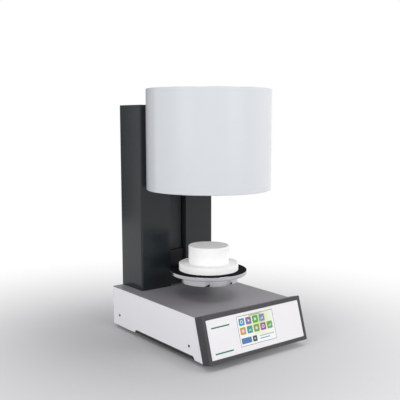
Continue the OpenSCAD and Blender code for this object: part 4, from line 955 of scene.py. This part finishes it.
# Column cap: a lid of the same sheet, with a skirt that goes inside the cover.
# Its front corners follow the cover's, and a fine joint shows between the two.
low, high = reach("column_cap")
cap_t, skirt_t = 2, 2
cap = block("column_cap", (low[0], low[1], high[2] - cap_t), high)
round_off(cap, along(2, (1, low[1] - 1, low[1] + 1)), corner_r, 8)
skirt_low = (low[0] + 2.3, low[1] + 24, low[2])
skirt_high = (high[0] - 2.3, high[1] - 16, high[2] - 1)
skirt = block("skirt", skirt_low, skirt_high)
hollow_low = (skirt_low[0] + skirt_t, skirt_low[1] + skirt_t, low[2] - 1)
hollow_high = (skirt_high[0] - skirt_t, skirt_high[1] - skirt_t, high[2] - cap_t)
join_in(skirt, "DIFFERENCE", block("skirt_in", hollow_low, hollow_high))
join_in(cap, "UNION", skirt)
soften(cap, 0.6, 3)
cap.data.materials.append(gloss_lacquer)
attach(cap, "housing")
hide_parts("column_cap")

# Rear cover of the column: a flat sheet with two fields of pressed louvres near its top.
# Six small screws hold it to the cover's flanges.
low, high = reach("column_rear_cover")
lid = copy_of("column_rear_cover", "rear_cover")
soften(lid, 0.4)
hood_w, hood_h, hood_d, hood_wall = 61, 6, 2.2, 3.4
field_x, louvre_pitch, louvre_count, field_share = 36, 9, 12, 0.62
hood = block("hood", (-hood_w / 2, 0, -hood_h / 2), (hood_w / 2, hood_d, hood_h / 2))
pick(hood, "VERT", lambda ends: ends[0].y > 1 and ends[0].z > 0)
bpy.ops.transform.translate(value=(0, -(hood_d - 0.3) * MM, 0))
done()
pick(hood, "VERT", lambda ends: ends[0].y > 1 and ends[0].z < 0)
bpy.ops.transform.resize(value=(0.93, 1, 1), center_override=(0, 0, 0))
done()
mouth_x = hood_w / 2 - hood_wall
mouth = block("mouth", (-mouth_x, -1, -hood_h), (mouth_x, hood_d - 0.8, -hood_h / 2 + 1.6))
join_in(hood, "DIFFERENCE", mouth)
soften(hood, 0.35)
column_h = high[2] - low[2] + 2.3
field_z = low[2] + column_h * field_share
places = [(s * field_x, i * louvre_pitch) for s in (-1, 1) for i in range(louvre_count)]
hoods = repeat(hood, [at(x, high[1], field_z + z + 2) for x, z in places])
merge([lid, hoods], "rear_cover")
lid.data.materials.clear()
lid.data.materials.append(gloss_lacquer)
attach(lid, "housing")
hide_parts("column_rear_cover")

low, high = reach("rear_screws")
back = Matrix.Rotation(math.radians(-90), 4, "X")
columns = (low[0] + cad_head_r, high[0] - cad_head_r)
rows = (low[2] + cad_head_r, (low[2] + high[2]) / 2 + 3, high[2] - cad_head_r)
screw = pan_screw("rear_screws", cad_head_r, head_h=1.2, shank_r=1.8, length=6)
lid_screws = repeat(screw, [at(x, high[1] - 1.2, z) @ back for x in columns for z in rows])
lid_screws.data.materials.append(black_oxide)
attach(lid_screws, "housing")
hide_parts("rear_screws")

# Lift: a cast carriage on the rods, with two webs that reach through the slots to the block.
# The block fills the channel, and the arm goes out from it to the pad under the table.

# Sand-cast aluminium, blasted: pale matt grey with the pitted 1 mm skin of the mould
pale_grey, pitted = (25, "#898d91", "#979b9f"), (1.0, 0.08, 0.4)
cast_metal = plain("cast_aluminium", "#8f9397", 0.55, pale_grey, pitted, metallic=1.0)
clad(cast_metal, "carriage")

# Epoxy primer, sprayed on the arm: soft black and half matt, with a fine dry-spray grain
soft_black, dry_spray = (40, "#1b1c1f", "#1e1f22"), (0.6, 0.02)
arm_paint = plain("black_epoxy_primer", "#1c1d20", 0.5, soft_black, dry_spray, sockets=lacquer)

low, high = reach("lift_arm")
column_low_y = reach("column_cover")[0][1]
table_y = sum(c[1] for c in reach("seal_disc")) / 2
seal_top = reach("seal_disc")[1][2]
block_depth, block_half, arm_w, pad_r, hub_r, bore_r = 9, channel_w / 2 - 1, 34, 26, 22, 5
arm_low, arm_high, hub_high = low[2] + 4, low[2] + 14, reach("table_dish")[0][2] + 18.3
arm_foot = (-block_half, column_low_y + block_depth, low[2])
arm = block("lift_arm", arm_foot, (block_half, high[1], high[2]))
bar = block("bar", (-arm_w / 2, table_y, arm_low), (arm_w / 2, high[1] - 5, arm_high))
hub = [(bore_r, arm_low), (pad_r, arm_low), (pad_r, arm_high), (hub_r, arm_high)]
hub += [(hub_r, hub_high), (bore_r, hub_high), (bore_r, arm_low)]
pad = turn("pad", (0, table_y, 0), hub)
through = [(0, arm_low - 3), (bore_r, arm_low - 3), (bore_r, hub_high + 3), (0, hub_high + 3)]
join_in(bar, "DIFFERENCE", turn("bore", (0, table_y, 0), through, 48))
join_in(arm, "UNION", bar, pad)
soften(arm, 0.8, 3)
arm.data.materials.append(arm_paint)
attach(arm, "lift_table")
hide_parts("lift_arm")

screw_ring_r, screw_h = 14, 2.4
screw = pan_screw("dish_screws", head_r=3.6, head_h=screw_h, shank_r=2, length=15.5)
screw_low = reach("dish_screws")[0][2] + screw_h
upside_down = Matrix.Rotation(math.radians(180), 4, "X")
angles = [math.radians(a) for a in (90, 210, 330)]
ring = [(screw_ring_r * math.cos(a), table_y + screw_ring_r * math.sin(a)) for a in angles]
dish_screws = repeat(screw, [at(x, y, screw_low) @ upside_down for x, y in ring])
dish_screws.data.materials.append(black_oxide)
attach(dish_screws, "lift_table")
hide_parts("dish_screws")

# Table dish: spun from 1.5 mm stainless sheet, with an upright rim and a skirt below.
# The skirt's lower edge has V notches, and an opening at the back for the arm.

# Stainless steel, spun and brushed on the lathe: silver grey, with 0.5 mm rings round its middle
spun_steel, tree, place = start_material("spun_steel", "#c0c0c4", 0.25, 1.0)
middle = (0, -table_y * MM, -seal_top * MM)
own = add_node(tree, "Mapping", {"Vector": place, "Location": middle})
split = add_node(tree, "SeparateXYZ", {"Vector": own}).outputs
flat = add_node(tree, "CombineXYZ", {"X": split["X"], "Y": split["Y"]})
radius = add_node(tree, "VectorMath", {0: flat}, operation="LENGTH").outputs["Value"]
line = add_node(tree, "Math", {0: radius, 1: split["Z"]}, operation="ADD")
lines_per_m = 2000
brushed = add_node(tree, "Math", {0: line, 1: lines_per_m}, operation="MULTIPLY")
strokes = {"W": brushed, "Scale": 1.0, "Detail": 2.0}
rings = add_node(tree, "TexNoise", strokes, noise_dimensions="1D")
drive(tree, (rings, "#b6b6ba", "#cacace"), (rings, 0.15, 0.1), (rings, 0.2, 0.3))

# The same steel, brown-black inside the skirt and on its notches' cut faces as painted shade under
# the dish: dull, in soft clouds
brown_black, dull_skin = (14, "#26211f", "#38322f"), (0.5, 0.03)
skirt_shade_steel = plain("painted_shade_steel", "#2c2826", 0.6, brown_black, dull_skin, metallic=0.5)

rim_r, rim_h, skirt_r, skirt_h, metal_t, way_x = 94.5, 9.8, 72.2, 18.3, 1.5, 18
rim = [(10, -rim_h), (rim_r - 1.4, -rim_h), (rim_r - 0.7, -rim_h + 0.2)]
rim += [(rim_r - 0.2, -rim_h + 0.7), (rim_r, -rim_h + 1.4), (rim_r, -1.0), (rim_r - 0.3, -0.7)]
rim += [(rim_r - 0.75, -0.6), (rim_r - 1.2, -0.7), (rim_r - metal_t, -1.0)]
rim += [(rim_r - metal_t, -rim_h + metal_t), (10, -rim_h + metal_t), (10, -rim_h)]
spot = (0, table_y, seal_top)
dish = turn("table_dish", spot, rim, 160)
skirt_top, skirt_foot, skirt_in_r = -rim_h + 0.5, -rim_h - skirt_h, skirt_r - metal_t
band = [(skirt_r, skirt_top), (skirt_r, skirt_foot), (skirt_in_r, skirt_foot)]
band += [(skirt_in_r, skirt_top), (skirt_r, skirt_top)]
skirt = turn("skirt", spot, band, 160)
skirt_low = seal_top - rim_h - skirt_h
way_low, way_high = (-way_x, table_y, skirt_low - 1), (way_x, table_y + 90, skirt_low + skirt_h - 3)
opening = block("opening", way_low, way_high)
point = Matrix.Rotation(math.radians(90), 4, "Y") @ Matrix.Rotation(math.radians(180), 4, "Z")
wedge = Matrix.Diagonal((1, 1.1, 1, 1))
first_notch, notch_step, wedge_r = 130, 50, 9
notches = []
for i in (0, 2, 3, 4, 5, 6):
    bpy.ops.mesh.primitive_cylinder_add(vertices=3, radius=wedge_r * MM, depth=5 * MM)
    around = Matrix.Rotation(math.radians(first_notch + notch_step * i), 4, "Z")
    lay = at(0, table_y, skirt_low - 1) @ around @ at(skirt_r, 0, 0) @ wedge @ point
    notches.append(settle(bpy.context.object, "notch", lay))
join_in(skirt, "DIFFERENCE", opening, *notches)
join_in(dish, "UNION", skirt)
smooth(dish)
dish.data.materials.append(spun_steel)
dish.data.materials.append(skirt_shade_steel)
# The skirt's inner wall, lower edge and notch faces take the brown-black steel: painted shade
for face in dish.data.polygons:
    out = face.center / MM - Vector(spot)
    if out.z < -rim_h - 0.2 and math.hypot(out.x, out.y) < skirt_r - 0.3:
        face.material_index = 1
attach(dish, "lift_table")
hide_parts("table_dish")

# Skirt lining: a strip of graphite felt inside the skirt, put behind its notches as painted shade
# so that the notches look black. It leaves the arm's opening free.

# Graphite felt, pressed: near black and dull, with a short nap and small paler flecks
flecks, nap, dry = (1.6, "#09090b", "#141517"), (0.7, 0.15, 0.5, 4.0), {"Specular IOR Level": 0.05}
felt = plain("graphite_felt", "#0c0c0e", 0.9, flecks, nap, sockets=dry)

lining_r, lining_t = skirt_in_r - 0.2, 1.2
lining_low, lining_high = skirt_low + 0.4, seal_top - rim_h - 0.2
strip = [(lining_r - lining_t, lining_low), (lining_r, lining_low), (lining_r, lining_high)]
strip += [(lining_r - lining_t, lining_high), (lining_r - lining_t, lining_low)]
# A dark strip behind the notches, where there is only shade: painted shade
shade_lining = turn("skirt_shade_lining", (0, table_y, 0), strip, 160)
way = block("way", (-way_x, table_y, lining_low - 1), (way_x, table_y + 90, seal_top))
smooth(join_in(shade_lining, "DIFFERENCE", way))
shade_lining.data.materials.append(felt)
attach(shade_lining, "lift_table")

# Seal disc: a black disc of graphite-filled fibre that lies in the dish and closes the muffle.
# Its edge lies on the dish's rim, so that steel doesn't meet steel when the table closes.
low, high = reach("seal_disc")
seal_r, seal_h, lip_r, lip_t = (high[0] - low[0]) / 2, high[2] - low[2], rim_r - 0.1, 0.6
pad_edge = [(10, 0), (seal_r, 0), (seal_r, seal_h - lip_t), (lip_r, seal_h - lip_t)]
pad_edge += [(lip_r, seal_h - 0.25), (lip_r - 0.25, seal_h), (10, seal_h), (10, 0)]
seal = smooth(turn("seal_disc", (0, table_y, low[2]), pad_edge, 160))
seal.data.materials.append(felt)
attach(seal, "lift_table")
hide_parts("seal_disc")

# Pedestal: two discs of fibre board, the wide one to close the mouth and the plug on top
# to carry the tray. They are cut from vacuum-formed board and laid on each other.

# Alumina fibre board: pure white and matt, with a soft cut face of 1.5 mm tufts and fine pits
fibre, tree, place = start_material("fibre_board", "#fbfbfa", 0.95, 0.0, {"IOR": 1.45})
mottle(tree, place, 18, "#f9f9f7", "#fdfdfc")
tufts = add_node(tree, "TexNoise", {"Vector": place, "Scale": 650.0, "Detail": 5.0})
pits = add_node(tree, "TexVoronoi", {"Vector": place, "Scale": 420.0}).outputs["Distance"]
worn = add_node(tree, "MapRange", {"Value": pits, "From Min": 0.0, "From Max": 0.25})
shallow = add_node(tree, "Math", {0: worn, 1: 0.4}, operation="MULTIPLY")
cut_face = add_node(tree, "Math", {0: tufts, 1: shallow}, operation="ADD")
drive(tree, relief=(cut_face, 0.35, 0.2))

for node in ("pedestal_base", "pedestal_plug"):
    low, high = reach(node)
    r, h = (high[0] - low[0]) / 2, high[2] - low[2]
    edge = [(0, 0), (r - 0.5, 0), (r, 0.5), (r, h - 1.2), (r - 0.35, h - 0.35), (r - 1.2, h)]
    disc = smooth(turn(node, (0, table_y, low[2]), edge + [(0, h)], 128))
    disc.data.materials.append(fibre)
    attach(disc, "lift_table")
    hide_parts(node)

# Muffle: rings and a roof of the same fibre board in a steel jacket, hung from the column.
# Four heating elements and a thermocouple hang from ceramic holders on the roof.
clad(fibre, "insulation_mouth", "insulation_wall", "insulation_roof")
clad(zinc_sheet, "head_bottom_plate", "head_frame", "muffle_jacket")
clad(black_oxide, "head_bolts")

# Alumina porcelain, fired: cream white, dense and faintly glossy
cream = (6, "#e4dccb", "#eee8da")
porcelain = plain("alumina_porcelain", "#e9e2d2", 0.4, cream, sockets={"IOR": 1.7})
clad(porcelain, "element_holders", "thermocouple")

# Molybdenum disilicide, fired: dark grey with a thin glassy skin, browner where it runs hot
silicide, tree, place = start_material("disilicide_element", "#4b4643", 0.35, 0.3)
height = add_node(tree, "SeparateXYZ", {"Vector": place}).outputs["Z"]
hot = add_node(tree, "MapRange", {"Value": height, "From Min": 0.54, "From Max": 0.44})
drive(tree, (hot, "#55514f", "#3e322b"))
clad(silicide, "heating_elements")

# Head shell: 1.5 mm steel sheet rolled to a drum with rolled-in edges, cut out round the column.
# A lid with vent slots closes its top, just below the rolled edge.

# Gloss white enamel on sheet steel: smooth and bright, with a very long soft ripple of 30 mm
glassy = {"IOR": 1.5, "Coat Weight": 0.3, "Coat Roughness": 0.06}
cold_white, slow_ripple = (260, "#cccfd2", "#cfd2d5"), (30, 0.02, 0.15, 0.0)
enamel = plain("white_gloss_enamel", "#cdd0d3", 0.2, cold_white, slow_ripple, sockets=glassy)

low, high = reach("head_shell")
head_r, head_h, skin_t, roll_r, lip, column_gap = high[0], high[2] - low[2], 1.5, 2, 14, 0.3


def quarter(middle, radius, start, steps=5):
    """A quarter round of a section, from one angle on, anticlockwise."""
    angles = [math.radians(start + 90 * i / steps) for i in range(steps + 1)]
    return [(middle[0] + radius * math.cos(a), middle[1] + radius * math.sin(a)) for a in angles]


foot_roll, top_roll = (head_r - roll_r, roll_r), (head_r - roll_r, head_h - roll_r)
section = [(head_r - lip, 0)] + quarter(foot_roll, roll_r, -90) + quarter(top_roll, roll_r, 0)
section += [(head_r - lip, head_h), (head_r - lip, head_h - skin_t)]
section += quarter(top_roll, roll_r - skin_t, 0)[::-1]
section += quarter(foot_roll, roll_r - skin_t, -90)[::-1]
section += [(head_r - lip, skin_t), (head_r - lip, 0)]
shell = turn("head_shell", (0, table_y, low[2]), section, 192)
column_low, column_high = reach("column_cover")[0], reach("column_cap")[1]
room_low = (column_low[0] - column_gap, column_low[1] - column_gap, 50)
room_high = (column_high[0] + column_gap, column_high[1] + 50, column_high[2] + column_gap)
join_in(shell, "DIFFERENCE", block("column", room_low, room_high))
smooth(shell)
shell.data.materials.append(enamel)
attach(shell, "housing")
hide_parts("head_shell")

lid = soften(copy_of("head_top_cover", "head_lid"), 0.3)
lid.data.materials.append(enamel)
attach(lid, "housing")
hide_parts("head_top_cover")
